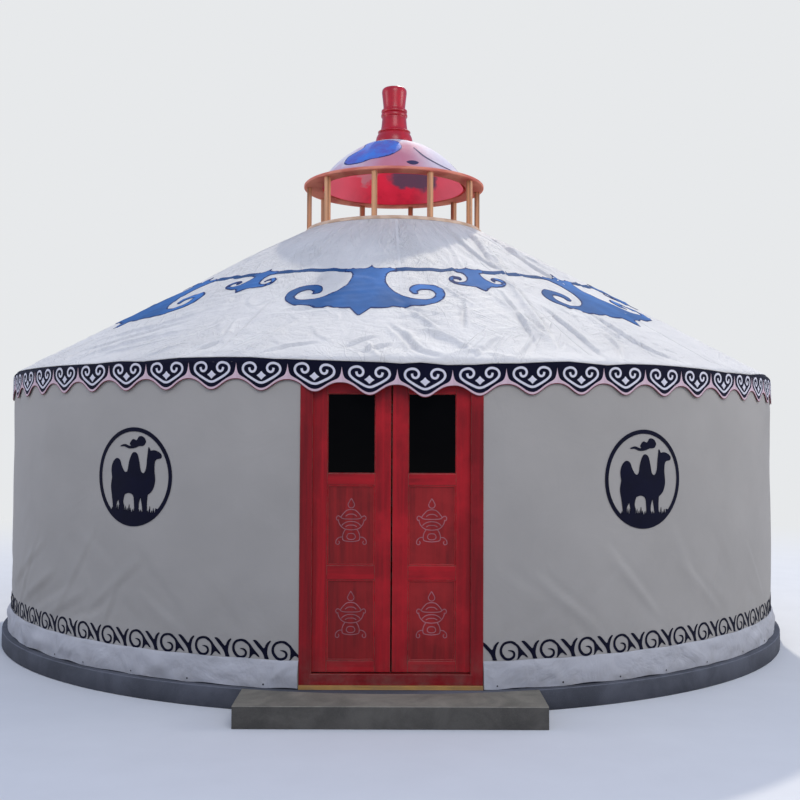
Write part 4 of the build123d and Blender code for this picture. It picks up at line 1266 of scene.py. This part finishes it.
class YURT_OT_roof(bpy.types.Operator):
    """Makes the roof canvas with its creases, felt, seams, cloud figures and ring line"""
    bl_idname = "yurt.roof"
    bl_label = "Roof"

    def execute(self, context):
        sizes, colours = context.scene.yurt_sizes, context.scene.yurt_colours
        relief = RELIEF["roof"] = roof_relief(sizes.crease)
        canvas_mat = roof_cloth("roof_canvas", colours.roof)
        # Four gores run from the turned-in upper end down to the hem, which lies on the cloth over the eave.
        places = relief.places[relief.places < EAVE_LINE[0][0]]
        uv_rows = [-0.02] + [(r - ROOF_IN_R) * ROOF_SLANT for r in places]
        uv_rows += list(uv_rows[-1] + np.linspace(0.01, 0.13, 12))
        for number, quarter in enumerate((0, 1, 2, -1), 1):
            first = SEAM_TURN + quarter * math.pi / 2
            turns = relief.turns[(relief.turns > first - 1e-9) & (relief.turns < first + math.pi / 2 + 1e-9)]
            hem = by_turn(HEM_PLACES, turns)
            rings = [around(ROOF_IN_R + 0.004, turns, EAVE_Z + (EAVE_R - ROOF_IN_R) * ROOF_FALL - CANVAS_LIFT)]
            rings += [roof_place(turns, r, 0.0) for r in places]
            for share in (0.12, 0.24, 0.36, 0.48, 0.6, 0.7, 0.8, 0.88, 0.95, 1.0):
                rise = relief.at(turns, np.minimum(EAVE_LINE[0][0] + 0.875 * hem * share, EAVE_R))
                rings.append(eave_place(turns, hem * share, rise * (1 - share) ** 0.7 + 0.0045 * share))
            rings += [eave_place(turns, hem + 0.0006, 0.0022), eave_place(turns, hem - 0.006, 0.0012)]
            canvas = new_piece(f"roof_canvas_{number}", np.concatenate(rings),
                               grid_faces(len(rings), len(turns), flip=True), canvas_mat,
                               uv=map_rows(lap(turns, MAP_R), uv_rows), smooth_angle=180, wrap=TAU * MAP_R)
            on_body(canvas, "roof_canvas", f"roof_cover_{number}")

        felt_mat = cloth("felt", (0.46, 0.43, 0.37), (0.38, 0.35, 0.30), rumples=14, depth=0.006, mottles=5,
                         rough=0.95, sheen=0.3, threads=20)
        turns = TAU * np.arange(160) / 160
        ring_r = np.linspace(ROOF_IN_R + 0.004, EAVE_R - 0.004, 14)
        rings = [around(r, turns, EAVE_Z + (EAVE_R - r) * ROOF_FALL - sink)
                 for sink, line in ((CANVAS_LIFT, ring_r), (2 * CANVAS_LIFT, ring_r[::-1])) for r in line]
        felt = shell("roof_felt", rings, felt_mat, map_rows(lap(turns, MAP_R), 0.18 * np.arange(len(rings))),
                     smooth_angle=50, wrap=TAU * MAP_R)
        on_body(felt, "roof_canvas")

        blue = cloth("cloud_blue", colours.blue, 0.45, rumples=8, depth=0.003, mottles=1.1, rough=0.75, sheen=0.0,
                     shine=0.12, outlined=(0.012, 0.032, 0.13))

        def in_plan(flat, lift):
            return roof_place(np.arctan2(flat[:, 0], -flat[:, 1]), np.hypot(flat[:, 0], flat[:, 1]), lift)

        parts = []
        for name, half, first in (("big", BIG_CLOUD, 0), ("small", SMALL_CLOUD, 1)):
            flat, tris = fill([whole_figure(half)], 0.026)
            for spin in MOTIF_TURNS[first:16:2]:
                spun = flat @ np.array([[math.cos(spin), math.sin(spin)], [-math.sin(spin), math.cos(spin)]])
                parts.append(plate(name, spun, tris, in_plan, sizes.applique, blue, uv=flat))
        on_body(join("roof_clouds", parts), "roof_canvas")

        deep = cloth("ring_line_blue", times_all(colours.blue, 0.42), times_all(colours.blue, 0.3), rumples=8,
                     depth=0.003, rough=0.75, sheen=0.0, shine=0.12)
        # The ring line runs between the figures and stops short of each figure.
        lines = []
        rng = np.random.RandomState(71)
        for k in range(16):
            before, after = FIGURE_HALVES[k % 2], FIGURE_HALVES[1 - k % 2]
            steps = np.linspace(MOTIF_TURNS[k] + before / RING_LINE_R, MOTIF_TURNS[k + 1] - after / RING_LINE_R, 22)
            middle = RING_LINE_R + 0.004 * rng.uniform(-1, 1)
            middle = middle + 0.004 * np.sin(np.linspace(0, 7, 22) + rng.uniform(0, 6))
            lines.append(ribbon("line", [(steps, middle - off) for off in (0.025, 0.009, -0.009, -0.025)],
                                sizes.applique * 0.8, deep))
        on_body(join("roof_ring_line", lines), "roof_canvas")

        tape = cloth("seam_tape", colours.roof, 0.88, rumples=20, depth=0.003, mottles=4, rough=0.75)
        place = np.linspace(ROOF_IN_R + 0.01, 2.93, 150)
        seams = [ribbon("seam", [(SEAM_TURN + TAU * k / SEAMS + off / place, place) for off in (-0.010, 0.0, 0.010)],
                        0.0016, tape) for k in range(SEAMS)]
        on_body(join("roof_seams", seams), "roof_canvas")
        return {"FINISHED"}


class YURT_OT_wall(bpy.types.Operator):
    """Makes the wall canvas, its felt, the scroll band and the two medallions"""
    bl_idname = "yurt.wall"
    bl_label = "Wall"

    def execute(self, context):
        sizes, colours = context.scene.yurt_sizes, context.scene.yurt_colours
        relief = RELIEF["wall"] = wall_relief(sizes.wall_fold)
        # The wall's greyer colour is painted shade.
        wall_mat = cloth("wall_canvas", colours.wall, 0.88, rumples=2.2, rumple_depth=1.2, depth=0.005, mottles=0.8,
                         dust=(0.30, 0.75, 0.12), rough=0.8, sheen=0.05)
        turns = relief.turns
        rings = [around(WALL_R - 0.006, turns, WALL_TOP)]
        rings += [wall_place(turns, z, 0.0) for z in relief.places[::-1]]
        rings += [around(WALL_R - 0.004, turns, FLOOR_Z + 0.003)]
        grid = np.stack(rings)
        # The cloth turns in behind the jambs.
        start, end = (around(WALL_R - 0.006, np.full(len(rings), turn), grid[:, k, 2])[:, None]
                      for turn, k in ((turns[0] - 0.0002, 0), (turns[-1] + 0.0002, -1)))
        grid = np.concatenate([start, grid, end], axis=1)
        turns = np.concatenate([[turns[0] - 0.002], turns, [turns[-1] + 0.002]])
        uv = np.stack([np.broadcast_to(turns * WALL_R, grid.shape[:2]), grid[..., 2]], -1)
        canvas = new_piece("wall_canvas", grid.reshape(-1, 3), grid_faces(*grid.shape[:2], flip=True), wall_mat,
                           uv=uv, smooth_angle=60)
        on_body(canvas, "wall_canvas", *[f"wall_cover_{i}" for i in range(1, 7)])

        count = 200
        turns = DOOR_TURN + 0.0008 + (TAU - 2 * DOOR_TURN - 0.0016) * np.arange(count) / (count - 1)
        levels = np.linspace(FLOOR_Z + 0.001, WALL_TOP - 0.002, 8)
        rings = [around(WALL_R - 0.0115, turns, z) for z in levels]
        rings += [around(WALL_R - 0.0250, turns, z) for z in levels[::-1]]
        felt = new_piece("wall_felt", np.concatenate(rings), bar_faces(len(rings), count),
                         bpy.data.materials["felt"], uv=map_rows(turns * WALL_R, 0.25 * np.arange(len(rings))),
                         smooth_angle=50)
        on_body(felt, "wall_canvas")

        navy = cloth("navy_cloth", colours.navy, 0.7, rumples=9, depth=0.002, mottles=6, rough=0.8, sheen=0.03,
                     shine=0.12)

        def on_wall(flat, lift):
            return wall_place(flat[:, 0] / WALL_R, flat[:, 1], lift)

        flat, tris = fill([s / 1000 for s in band_figures()], 0.030)
        flat = flat + (-BAND_MIDDLE, FLOOR_Z - 0.008)
        span = (TAU - 2 * DOOR_TURN) * WALL_R
        count = int((span - 0.02) // BAND_PITCH)
        units = [plate("unit", flat + (DOOR_TURN * WALL_R + 0.006 + (span - 0.012) / count * (k + 0.5), 0), tris,
                       on_wall, sizes.applique * 0.7, navy, uv=flat) for k in range(count)]
        on_body(join("scroll_band", units), "valance_cloth")

        for name, turn in (("medallion_left", -31.3), ("medallion_right", 30.4)):
            flat, tris = fill(*medallion_figures())
            centre = np.array([math.radians(turn % 360) * WALL_R, FLOOR_Z + 1.178])
            on_body(plate(name, flat + centre, tris, on_wall, sizes.applique, navy, uv=flat), "valance_cloth")
        return {"FINISHED"}


class YURT_OT_skirt(bpy.types.Operator):
    """Makes the two lengths of skirt, puckered between their tacks, and the tacks"""
    bl_idname = "yurt.skirt"
    bl_label = "Skirt"

    def execute(self, context):
        sizes, colours = context.scene.yurt_sizes, context.scene.yurt_colours
        skirt_mat = cloth("skirt_canvas", colours.skirt, 0.85, rumples=3.2, rumple_depth=2.2, depth=0.016,
                          mottles=2.4, dust=(0.12, 0.22, 0.35), rough=0.8)
        tack_mat = painted_steel("tack_steel")
        count, rows = 520, 12
        t = np.linspace(DOOR_TURN, math.pi, count)
        down = np.linspace(0, 1, rows)[:, None]
        u = np.broadcast_to(t / TAU, (rows, count))
        heads = []
        for name, side, seed in (("skirt_right", 1, 91), ("skirt_left", -1, 92)):
            rng = np.random.RandomState(seed)
            marks = np.cumsum(rng.uniform(0.34, 0.52, 30)) / WALL_R + DOOR_TURN - 0.10
            marks = marks[(marks < math.pi - 0.03) & (marks > DOOR_TURN + 0.015)]
            gap = (np.abs(t[:, None] - marks[None, :]) * WALL_R).min(1)
            slack = 1 - np.exp(-(gap / 0.10) ** 1.5)
            folds = np.zeros((rows, count))
            for mark in marks:
                for lean in (-1.6, -0.7, 0.2, 1.0, 1.8):
                    lean = lean + rng.uniform(-0.3, 0.3)
                    off = (t - mark) * WALL_R - lean * (1 - down) * 0.085
                    folds += rng.uniform(0.3, 1.0) * 0.45 * np.exp(-(off / (0.012 + 0.02 * (1 - down))) ** 2)
            long_fold = value_noise(u, 0.3 + 0.7 * down + 0 * u, 120, 3, seed + 5)
            bulge = sizes.skirt_fold * (slack * (0.45 + 0.8 * long_fold) * np.sin(math.pi * down ** 0.8)
                                        + folds * np.sin(math.pi * down) * 0.8)
            bulge += 0.004 * value_noise(u, down + 0 * u, 150, 2, seed + 7)
            r = WALL_R + 0.0065 + 0.014 * down ** 1.4 + bulge
            rise = 0.010 * slack * (0.6 + 0.4 * np.sin(t * 37))
            z = SKIRT_TOP - 0.004 - (SKIRT_TOP - 0.004 - FLOOR_Z - 0.0015 - rise) * down
            r = np.concatenate([np.full((1, count), WALL_R + 0.002), r, r[-1:] - 0.006])
            z = np.concatenate([SKIRT_TOP + 0.001 + 0.002 * np.sin(t * 50)[None, :], z, z[-1:] + 0.006])
            uv = np.stack([np.broadcast_to(side * t * WALL_R, r.shape), z], -1)
            piece = new_piece(name + "_cloth", around(r, side * t, z).reshape(-1, 3),
                              grid_faces(rows + 2, count, flip=side > 0), skirt_mat, uv=uv, smooth_angle=60)
            on_body(piece, "skirt_canvas", name)
            heads += [tack(side * m, float(np.interp(m, t, r[-3])), FLOOR_Z + 0.022, tack_mat) for m in marks]
        on_body(join("skirt_tacks", heads), "hinge_steel")
        return {"FINISHED"}


def tack(turn, r, z, mat):
    """A domed tack head that looks outwards."""
    sides = 10
    spins = TAU * np.arange(sides) / sides
    verts = [(0, 0, 0.0032)]
    for radius, height in ((0.0045, 0.0026), (0.0075, 0.0004), (0.0078, -0.004)):
        verts += [(radius * math.cos(a), radius * math.sin(a), height) for a in spins]
    faces = [(0, 1 + i, 1 + (i + 1) % sides) for i in range(sides)]
    for base in (1, 1 + sides):
        faces += [(base + i, base + sides + i, base + sides + (i + 1) % sides, base + (i + 1) % sides)
                  for i in range(sides)]
    out = Vector((math.sin(turn), -math.cos(turn), 0))
    side = Vector((math.cos(turn), math.sin(turn), 0))
    put = [out * (r - 0.002 + v[2]) + side * v[0] + Vector((0, 0, z + v[1])) for v in map(Vector, verts)]
    return new_piece("tack", [p[:] for p in put], faces, mat, smooth_angle=50)


class YURT_OT_valance(bpy.types.Operator):
    """Makes the scalloped valance with its scrolls, border and piping"""
    bl_idname = "yurt.valance"
    bl_label = "Valance"

    def execute(self, context):
        sizes, colours = context.scene.yurt_sizes, context.scene.yurt_colours
        navy = cloth("valance_navy", colours.navy, 0.75, rumples=9, depth=0.002, mottles=4, rough=0.8, sheen=0.03,
                     shine=0.12)
        white = cloth("valance_line", colours.line, 0.85, rumples=10, depth=0.002, mottles=5, rough=0.8)
        pink = cloth("valance_border", colours.border, 0.85, rumples=10, depth=0.002, mottles=3, rough=0.8)
        red = cloth("valance_piping", colours.piping, 0.7, rumples=20, depth=0.002, mottles=6, rough=0.7)
        # From under the roof's hem over the rounded eave, down to the scallops, and back up behind.
        count, rows = 1200, 7
        turns = TAU * np.arange(count) / count
        share = np.linspace(0, 1, rows)[:, None]
        start = by_turn(HEM_PLACES, turns) - 0.018
        bend = start + (0.146 - start) * share
        z = 1.958 + (scallop_edge(turns) + 0.002 - 1.958) * share

        def cloth_rows(lift):
            upper = eave_place(np.broadcast_to(turns, bend.shape), bend, np.full(bend.shape, lift))
            return np.concatenate([upper, valance_place(np.broadcast_to(turns, z.shape), z, lift)])

        level = np.concatenate([2.106 - bend, z])
        uv = np.stack([np.broadcast_to(lap(turns, MAP_R), level.shape), level], -1)
        ground = shell("valance_cloth", np.concatenate([cloth_rows(0.0), cloth_rows(-0.0030)[::-1]]), navy,
                       np.concatenate([uv, uv[::-1]]), smooth_angle=50, wrap=TAU * MAP_R)
        on_body(ground, "valance_cloth", *[f"valance_{i}" for i in range(1, 5)])

        # One unit of the drawing, repeated at every scallop and then laid on the waving cloth.
        def flat_out(flat, lift):
            return around(VALANCE_R + lift, flat[:, 0] / SCALLOP_R, flat[:, 1])

        def settle(points):
            turn = np.arctan2(points[:, 0], -points[:, 1])
            out = valance_out(turn, points[:, 2])
            return np.stack([out * np.sin(turn), -out * np.cos(turn), -by_turn(VALANCE_SAG, turn)], -1)

        step = TAU / SCALLOPS
        scroll, tris = fill([s / 1000 for s in valance_figures(sizes.scroll_line)], 0.03)
        # The border follows the edge and rises to a point between two scallops, with shorter steps towards it.
        half = step * SCALLOP_R / 2
        xs = half * np.sin(np.linspace(-math.pi / 2, math.pi / 2, 49))
        low = scallop_edge(xs / SCALLOP_R + VALANCE_TURN) + 0.002
        near = np.abs(np.abs(xs) - half) * 1000
        high = low + 0.0125 + (0.068 * np.exp(-near / 7.5) + 0.008 * np.exp(-(near / 40) ** 2))
        edge_rows = low + (high - low) * np.linspace(0, 1, 5)[:, None]
        strip = np.stack([np.broadcast_to(xs, edge_rows.shape), edge_rows], -1).reshape(-1, 2)
        laid = []
        for name, flat, faces, mat, uv in (("scrolls", scroll + (0, EAVE_Z), tris, white, scroll),
                                           ("border", strip, grid_faces(5, 49), pink, strip)):
            unit = plate(name, flat, faces, flat_out, 0.0016, mat, uv=uv)
            laid.append(moved(round_copies(unit, f"valance_{name}", SCALLOPS, VALANCE_TURN, step), settle))
            on_body(laid[-1], "valance_cloth")

        centre_z = scallop_edge(turns)
        slope = np.gradient(centre_z, turns[1] - turns[0]) / SCALLOP_R
        lean = sizes.piping / np.sqrt(1 + slope ** 2)
        out = VALANCE_R + valance_out(turns, centre_z) - 0.001
        ring = TAU * np.arange(8) / 8
        tube = [around(out + sizes.piping * math.cos(a), turns - math.sin(a) * slope * lean / SCALLOP_R,
                       centre_z - by_turn(VALANCE_SAG, turns) + math.sin(a) * lean) for a in ring]
        piping = shell("valance_piping", tube, red, map_rows(lap(turns, MAP_R), ring / 60), smooth_angle=180,
                       wrap=TAU * MAP_R)
        on_body(piping, "valance_cloth")
        return {"FINISHED"}


class YURT_OT_lantern(bpy.types.Operator):
    """Makes the lantern's foot ring, posts and rim"""
    bl_idname = "yurt.lantern"
    bl_label = "Lantern"

    def execute(self, context):
        colours = context.scene.yurt_colours
        wood = bare_wood("lantern_wood", colours.wood, times_all(colours.wood, 0.6), gloss=0.5, coat=0.1)
        rim_mat = bare_wood("rim_paint", (0.82, 0.29, 0.20), (0.66, 0.16, 0.12), gloss=0.75, along=(3.0, 3.0, 60.0),
                            shine=0.12)
        tan = bare_wood("foot_ring_wood", (0.78, 0.56, 0.40), (0.62, 0.40, 0.26), gloss=0.6, along=(6.0, 6.0, 40.0))
        (_, _, low), (_, _, high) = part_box("lantern_foot_ring")
        foot = turned("lantern_foot", ring_section(*FOOT_RING, low, high, 0.006, top=2), 96, tan)
        on_body(foot, "varnished_wood", "lantern_foot_ring")
        (_, _, low), (_, _, high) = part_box("lantern_posts")
        post = boards("post", [((-POST_HALF, -POST_R - POST_HALF, low), (POST_HALF, -POST_R + POST_HALF, high))],
                      wood, 0.004)
        posts = round_copies(post, "lantern_uprights", POSTS, POST_TURN, TAU / POSTS)
        on_body(posts, "varnished_wood", "lantern_posts")
        (_, _, low), (_, _, high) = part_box("lantern_rim")
        rim = turned("lantern_brim", ring_section(*RIM, low, high, 0.005), 120, rim_mat)
        on_body(rim, "rim_paint", "lantern_rim")
        return {"FINISHED"}


def dome_line(share, lift=0.0):
    """The dome's section: from the finial's foot (0) to the rim (1)."""
    share = np.asarray(share, float)
    a, b = np.array([0.155, 4.0232]), np.array([DOME_EDGE_R, 3.6512])
    way = b - a
    chord = np.hypot(*way)
    way = way / chord
    across = np.array([-way[1], way[0]])
    radius = (chord ** 2 / 4 + DOME_BULGE ** 2) / (2 * DOME_BULGE)
    centre = (a + b) / 2 + across * (DOME_BULGE - radius)
    swing = ((2 * share - 1) * math.asin(chord / 2 / radius))[..., None]
    at = centre + np.asarray(radius + lift)[..., None] * (np.sin(swing) * way + np.cos(swing) * across)
    return at[..., 0], at[..., 1]


def dome_place(turn, share, lift):
    """Points on the dome's cloth. It sinks a little between the ribs and creases near its edge."""
    off = np.cos(POSTS * (turn - POST_TURN))
    sag = (-0.006 * (0.5 - 0.5 * off) * np.sin(math.pi * np.clip(share, 0, 1)) ** 0.7
           + 0.002 * value_noise(turn / TAU, share, 34, 3, 101))
    r, z = dome_line(share, sag + lift)
    return around(r, turn, z)


class YURT_OT_dome(bpy.types.Operator):
    """Makes the dome's cloth with its blue clouds, the red lining and the finial"""
    bl_idname = "yurt.dome"
    bl_label = "Dome"

    def execute(self, context):
        colours = context.scene.yurt_colours
        count, slope = 240, 0.5
        turns = TAU * np.arange(count) / count
        shares = np.linspace(0, 1, 26)
        rings = [around(0.150, turns, 4.0200)] + [dome_place(turns, np.full(count, s), 0.0) for s in shares]
        rings += [around(DOME_EDGE_R + 0.003, turns, 3.6516), around(DOME_EDGE_R - 0.003, turns, 3.6514)]
        uv = map_rows(np.mod(turns * slope + math.pi / 2, math.pi), [-0.006, *(shares * 0.615), 0.619, 0.624])
        canvas = new_piece("dome_canvas", np.concatenate(rings), grid_faces(len(rings), count, closed=True, flip=True),
                           dome_cloth("dome_cloth"), uv=uv, smooth_angle=70, wrap=math.pi)
        on_body(canvas, "dome_cloth", "dome_cover")

        # A long cloud, a spot and a thin line, three times round.
        cloud = cloth("dome_blue", (0.05, 0.27, 0.85), (0.13, 0.11, 0.52), rumples=9, depth=0.004, mottles=6.0,
                      rough=0.6, outlined=(0.02, 0.035, 0.16))
        dark = cloth("dome_dark", (0.035, 0.03, 0.09), (0.06, 0.05, 0.13), rumples=9, depth=0.003, mottles=5,
                     rough=0.7)
        metres = (slope, 0.6)
        for name, shape, mat in zip(("dome_clouds", "dome_spots", "dome_lines"), dome_figures(), (cloud, dark, dark)):
            flat, tris = fill([shape * metres], 0.03)
            parts = [plate(name, flat / metres + (TAU * k / 3, 0), [t[::-1] for t in tris],
                           lambda p, lift: dome_place(p[:, 0], p[:, 1], lift), 0.0016, mat, uv=flat)
                     for k in range(3)]
            on_body(join(name, parts), "dome_cloth")

        rings = []
        for s in np.linspace(0.0, 0.992, 16):
            r, z = (float(v) for v in dome_line(s, -0.0435))
            sink = 0.012 * (0.5 - 0.5 * np.cos(POSTS * (turns - POST_TURN))) * math.sin(math.pi * s) ** 0.5
            rings.append(around(r, turns, z - sink))
        rings += [p - (0, 0, 0.003) for p in rings[::-1]]
        lining = shell("dome_red_cloth", rings, lining_cloth("red_lining", colours.lining),
                       map_rows(lap(turns, slope), 0.05 * np.arange(len(rings))), smooth_angle=60, wrap=math.pi)
        on_body(lining, "red_lining", "dome_lining")

        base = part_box("finial")[0][2]
        profile = np.concatenate([smooth(run, per) for run, per in FINIAL_RUNS])
        profile = [(0.0, base)] + [(max(r, 0) / 1000, base + z / 1000) for r, z in profile]
        knob = turned("finial_turned", profile, 96, lacquer("finial_lacquer", colours.lacquer), smooth_angle=50)
        on_body(knob, "finial_lacquer", "finial")
        return {"FINISHED"}


class YURT_OT_doors(bpy.types.Operator):
    """Makes the door frame, the threshold and the two leaves with their panels, panes and ornaments"""
    bl_idname = "yurt.doors"
    bl_label = "Doors"

    def execute(self, context):
        sizes, colours = context.scene.yurt_sizes, context.scene.yurt_colours
        round_by = sizes.rounding
        worn = (0.30, 0.13, 0.09)
        frame_mat = painted_wood("frame_red", times_all(colours.door, 0.66), worn, gloss=0.42, dust=(0.12, 0.40, 0.4))
        leaf_mat = painted_wood("leaf_red", colours.door, worn, dust=(0.12, 0.40, 0.3))
        panel_mat = painted_wood("panel_red", colours.panel, worn, gloss=0.45, wear=0.6, streak=0.6)
        line_mat = painted_wood("ornament_pink", colours.ornament, colours.panel, gloss=0.6, wear=0.4)
        glass = dark_glass("pane_glass")
        ochre = painted_wood("ochre_board", colours.board, (0.25, 0.17, 0.10), gloss=0.6, dust=(0.12, 0.16, 0.5))

        for side, sign in (("left", -1), ("right", 1)):
            def block(xs, ys, zs):
                """A board on this side of the middle, from its spans across, back and up."""
                a, b = xs if sign > 0 else (-xs[1], -xs[0])
                return (a, ys[0], zs[0]), (b, ys[1], zs[1])

            def part(name, blocks, mat, slot, *nodes, rounding, seed, body=f"{side}_door"):
                on_body(boards(f"{side}_{name}", blocks, mat, rounding, seed=seed), slot, *nodes, body=body)

            low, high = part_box(f"{side}_jamb")
            up = (low[2], high[2])
            part("jamb_boards", [block((0.467, 0.522), FRAME_Y, up), block((0.450, 0.480), STOP_Y, up)], frame_mat,
                 "door_red", f"{side}_jamb", rounding=round_by, seed=3 + sign, body="yurt")

            low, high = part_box(f"{side}_leaf")
            edges = [low[2], *PANELS[0], *PANELS[1], *WINDOW, high[2]]
            pieces = [block(xs, LEAF_Y, (low[2], high[2])) for xs in ((0.004, OPENING[0]), (OPENING[1], 0.462))]
            pieces += [block((OPENING[0] - 0.0005, OPENING[1] + 0.0005), (LEAF_Y[0] + 0.0007, LEAF_Y[1] - 0.0007), zs)
                       for zs in zip(edges[::2], edges[1::2])]
            part("leaf_boards", pieces, leaf_mat, "door_red", f"{side}_leaf", rounding=round_by, seed=13 + sign)

            # A slim moulding lines each opening, against the panel or the pane.
            strips = []
            for (low, high), back, bead in ((PANELS[0], PANEL_Y[0], 0.009), (PANELS[1], PANEL_Y[0], 0.009),
                                            (WINDOW, PANE_Y[0], 0.004)):
                ys = (back - 0.006, back + 0.001)
                a, b = OPENING[0] + bead, OPENING[1] - bead
                strips += [block(xs, ys, (low, high)) for xs in ((OPENING[0], a), (b, OPENING[1]))]
                strips += [block((a, b), ys, zs) for zs in ((low, low + bead), (high - bead, high))]
            part("leaf_mouldings", strips, leaf_mat, "door_red", rounding=0.0025, seed=23 + sign)

            part("panels_painted", [block(OPENING, PANEL_Y, zs) for zs in PANELS], panel_mat, "door_panel_red",
                 f"{side}_leaf_panels", rounding=0.001, seed=33 + sign)
            part("pane", [block(OPENING, PANE_Y, WINDOW)], glass, "pane_glass", f"{side}_leaf_pane",
                 rounding=0.0008, seed=43)

            def on_panel(flat, lift):
                return np.stack([flat[:, 0], np.full(len(flat), PANEL_Y[0] - 0.0002 - lift), flat[:, 1]], -1)

            wide, tall, middle = 0.245, 0.262, 0.2300
            flat, tris = fill([stroke([(x * wide, z * tall) for x, z in line], 0.0046, per=5)
                               for line in ornament_lines()], 0.05)
            lines = [plate("ornament", flat + (sign * middle, foot), tris, on_panel, 0.0006, line_mat)
                     for foot in (0.405, 0.932)]
            on_body(join(f"{side}_ornaments", lines), "door_panel_red", body=f"{side}_door")

        low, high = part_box("door_head")
        head = [((low[0], FRAME_Y[0], 1.885), (high[0], FRAME_Y[1], high[2])),
                ((-0.4668, STOP_Y[0], low[2]), (0.4668, STOP_Y[1], 1.8855))]
        for name, blocks, mat, slot, node, seed in (
                ("head_boards", head, frame_mat, "door_red", "door_head", 53),
                ("sill_board", [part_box("door_sill")], frame_mat, "door_red", "door_sill", 54),
                ("threshold_plank", [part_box("threshold_board")], ochre, "ochre_board", "threshold_board", 55)):
            on_body(boards(name, blocks, mat, round_by, seed=seed), slot, node)
        return {"FINISHED"}


class YURT_OT_base(bpy.types.Operator):
    """Makes the plinth and the front step"""
    bl_idname = "yurt.base"
    bl_label = "Base"

    def execute(self, context):
        colours = context.scene.yurt_colours
        stone = cement("plinth_stone", colours.stone)
        # The step's top face is tinted lighter, a painted light from above.
        step_mat = cement("step_concrete", colours.step, stains=3.5, painted_top_light=(1.95, 1.93, 1.80))
        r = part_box("plinth")[1][0]
        b = 0.007
        rows = [(0.0, 0.0), (r - 0.003, 0.0), (r, 0.003), (r, FLOOR_Z - b), (r - b * 0.3, FLOOR_Z - b * 0.3),
                (r - b, FLOOR_Z), (2.2, FLOOR_Z), (0.0, FLOOR_Z)]
        plinth = turned("plinth_block", rows, 180, stone, smooth_angle=60, edge=[0, 0, 0, 0.2, 1, 0.3, 0, 0])
        on_body(plinth, "plinth_stone", "plinth")
        (left, front, _), (right, _, top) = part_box("front_step")
        count, b = 48, 0.006
        xs = np.linspace(left, right, count)
        inner = -np.sqrt(r ** 2 - xs ** 2)
        grid = np.array([np.stack(np.broadcast_arrays(xs, y, z), -1) for y, z in (
            (front, 0.0), (front, top - b), (front + b * 0.3, top - b * 0.3), (front + b, top), (inner, top),
            (inner, 0.0))])
        marks = np.repeat([0.0, 0.2, 1.0, 0.3, 0.0, 0.0], count)
        block = new_piece("step_block", grid.reshape(-1, 3), bar_faces(len(grid), count), step_mat,
                          uv=grid[..., :2], edge=marks, smooth_angle=60)
        on_body(block, "step_concrete", "front_step")
        return {"FINISHED"}


class YURT_OT_inside(bpy.types.Operator):
    """Gives the lattice, poles, crown ring, dome ribs and hinges their finish"""
    bl_idname = "yurt.inside"
    bl_label = "Frame inside"

    def execute(self, context):
        slat = bare_wood("slat_wood", (0.42, 0.23, 0.10), (0.28, 0.13, 0.05), gloss=0.55)
        pole = bare_wood("pole_wood", (0.45, 0.20, 0.08), (0.30, 0.10, 0.04), along=(10.0, 10.0, 10.0))
        steel = painted_steel("hinge_steel")
        for mat, names in ((slat, [f"wall_lattice_{i}" for i in range(1, 5)]),
                           (pole, ["roof_poles_right", "roof_poles_left", "crown_ring", "dome_frame"]),
                           (steel, ["hinge_frame_halves", "left_hinge_leaf_halves", "right_hinge_leaf_halves"])):
            for piece in (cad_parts[name] for name in names):
                if not piece.data.materials:
                    piece.data.materials.append(mat)
                for slot in piece.material_slots:
                    slot.material = mat
        return {"FINISHED"}


class YURT_PT_panel(bpy.types.Panel):
    """Lists the pieces and their sizes and colours"""
    bl_label = "Yurt"
    bl_idname = "YURT_PT_panel"
    bl_space_type = "VIEW_3D"
    bl_region_type = "UI"
    bl_category = "Yurt"

    def draw(self, context):
        column = self.layout.column()
        for operator in STEPS:
            column.operator(operator.bl_idname)
        for group in (context.scene.yurt_sizes, context.scene.yurt_colours):
            for name in group.__annotations__:
                column.prop(group, name)


STEPS = (YURT_OT_stage, YURT_OT_base, YURT_OT_roof, YURT_OT_wall, YURT_OT_skirt, YURT_OT_valance, YURT_OT_lantern,
         YURT_OT_dome, YURT_OT_doors, YURT_OT_inside)
CLASSES = (YurtSizes, YurtColours) + STEPS + (YURT_PT_panel,)


def register():
    for cls in CLASSES:
        bpy.utils.register_class(cls)
    bpy.types.Scene.yurt_sizes = bpy.props.PointerProperty(type=YurtSizes)
    bpy.types.Scene.yurt_colours = bpy.props.PointerProperty(type=YurtColours)


def unregister():
    del bpy.types.Scene.yurt_colours
    del bpy.types.Scene.yurt_sizes
    for cls in reversed(CLASSES):
        bpy.utils.unregister_class(cls)


def main():
    register()
    for step in (bpy.ops.yurt.stage, bpy.ops.yurt.base, bpy.ops.yurt.roof, bpy.ops.yurt.wall, bpy.ops.yurt.skirt,
                 bpy.ops.yurt.valance, bpy.ops.yurt.lantern, bpy.ops.yurt.dome, bpy.ops.yurt.doors,
                 bpy.ops.yurt.inside):
        step()


if __name__ == "__main__":
    main()
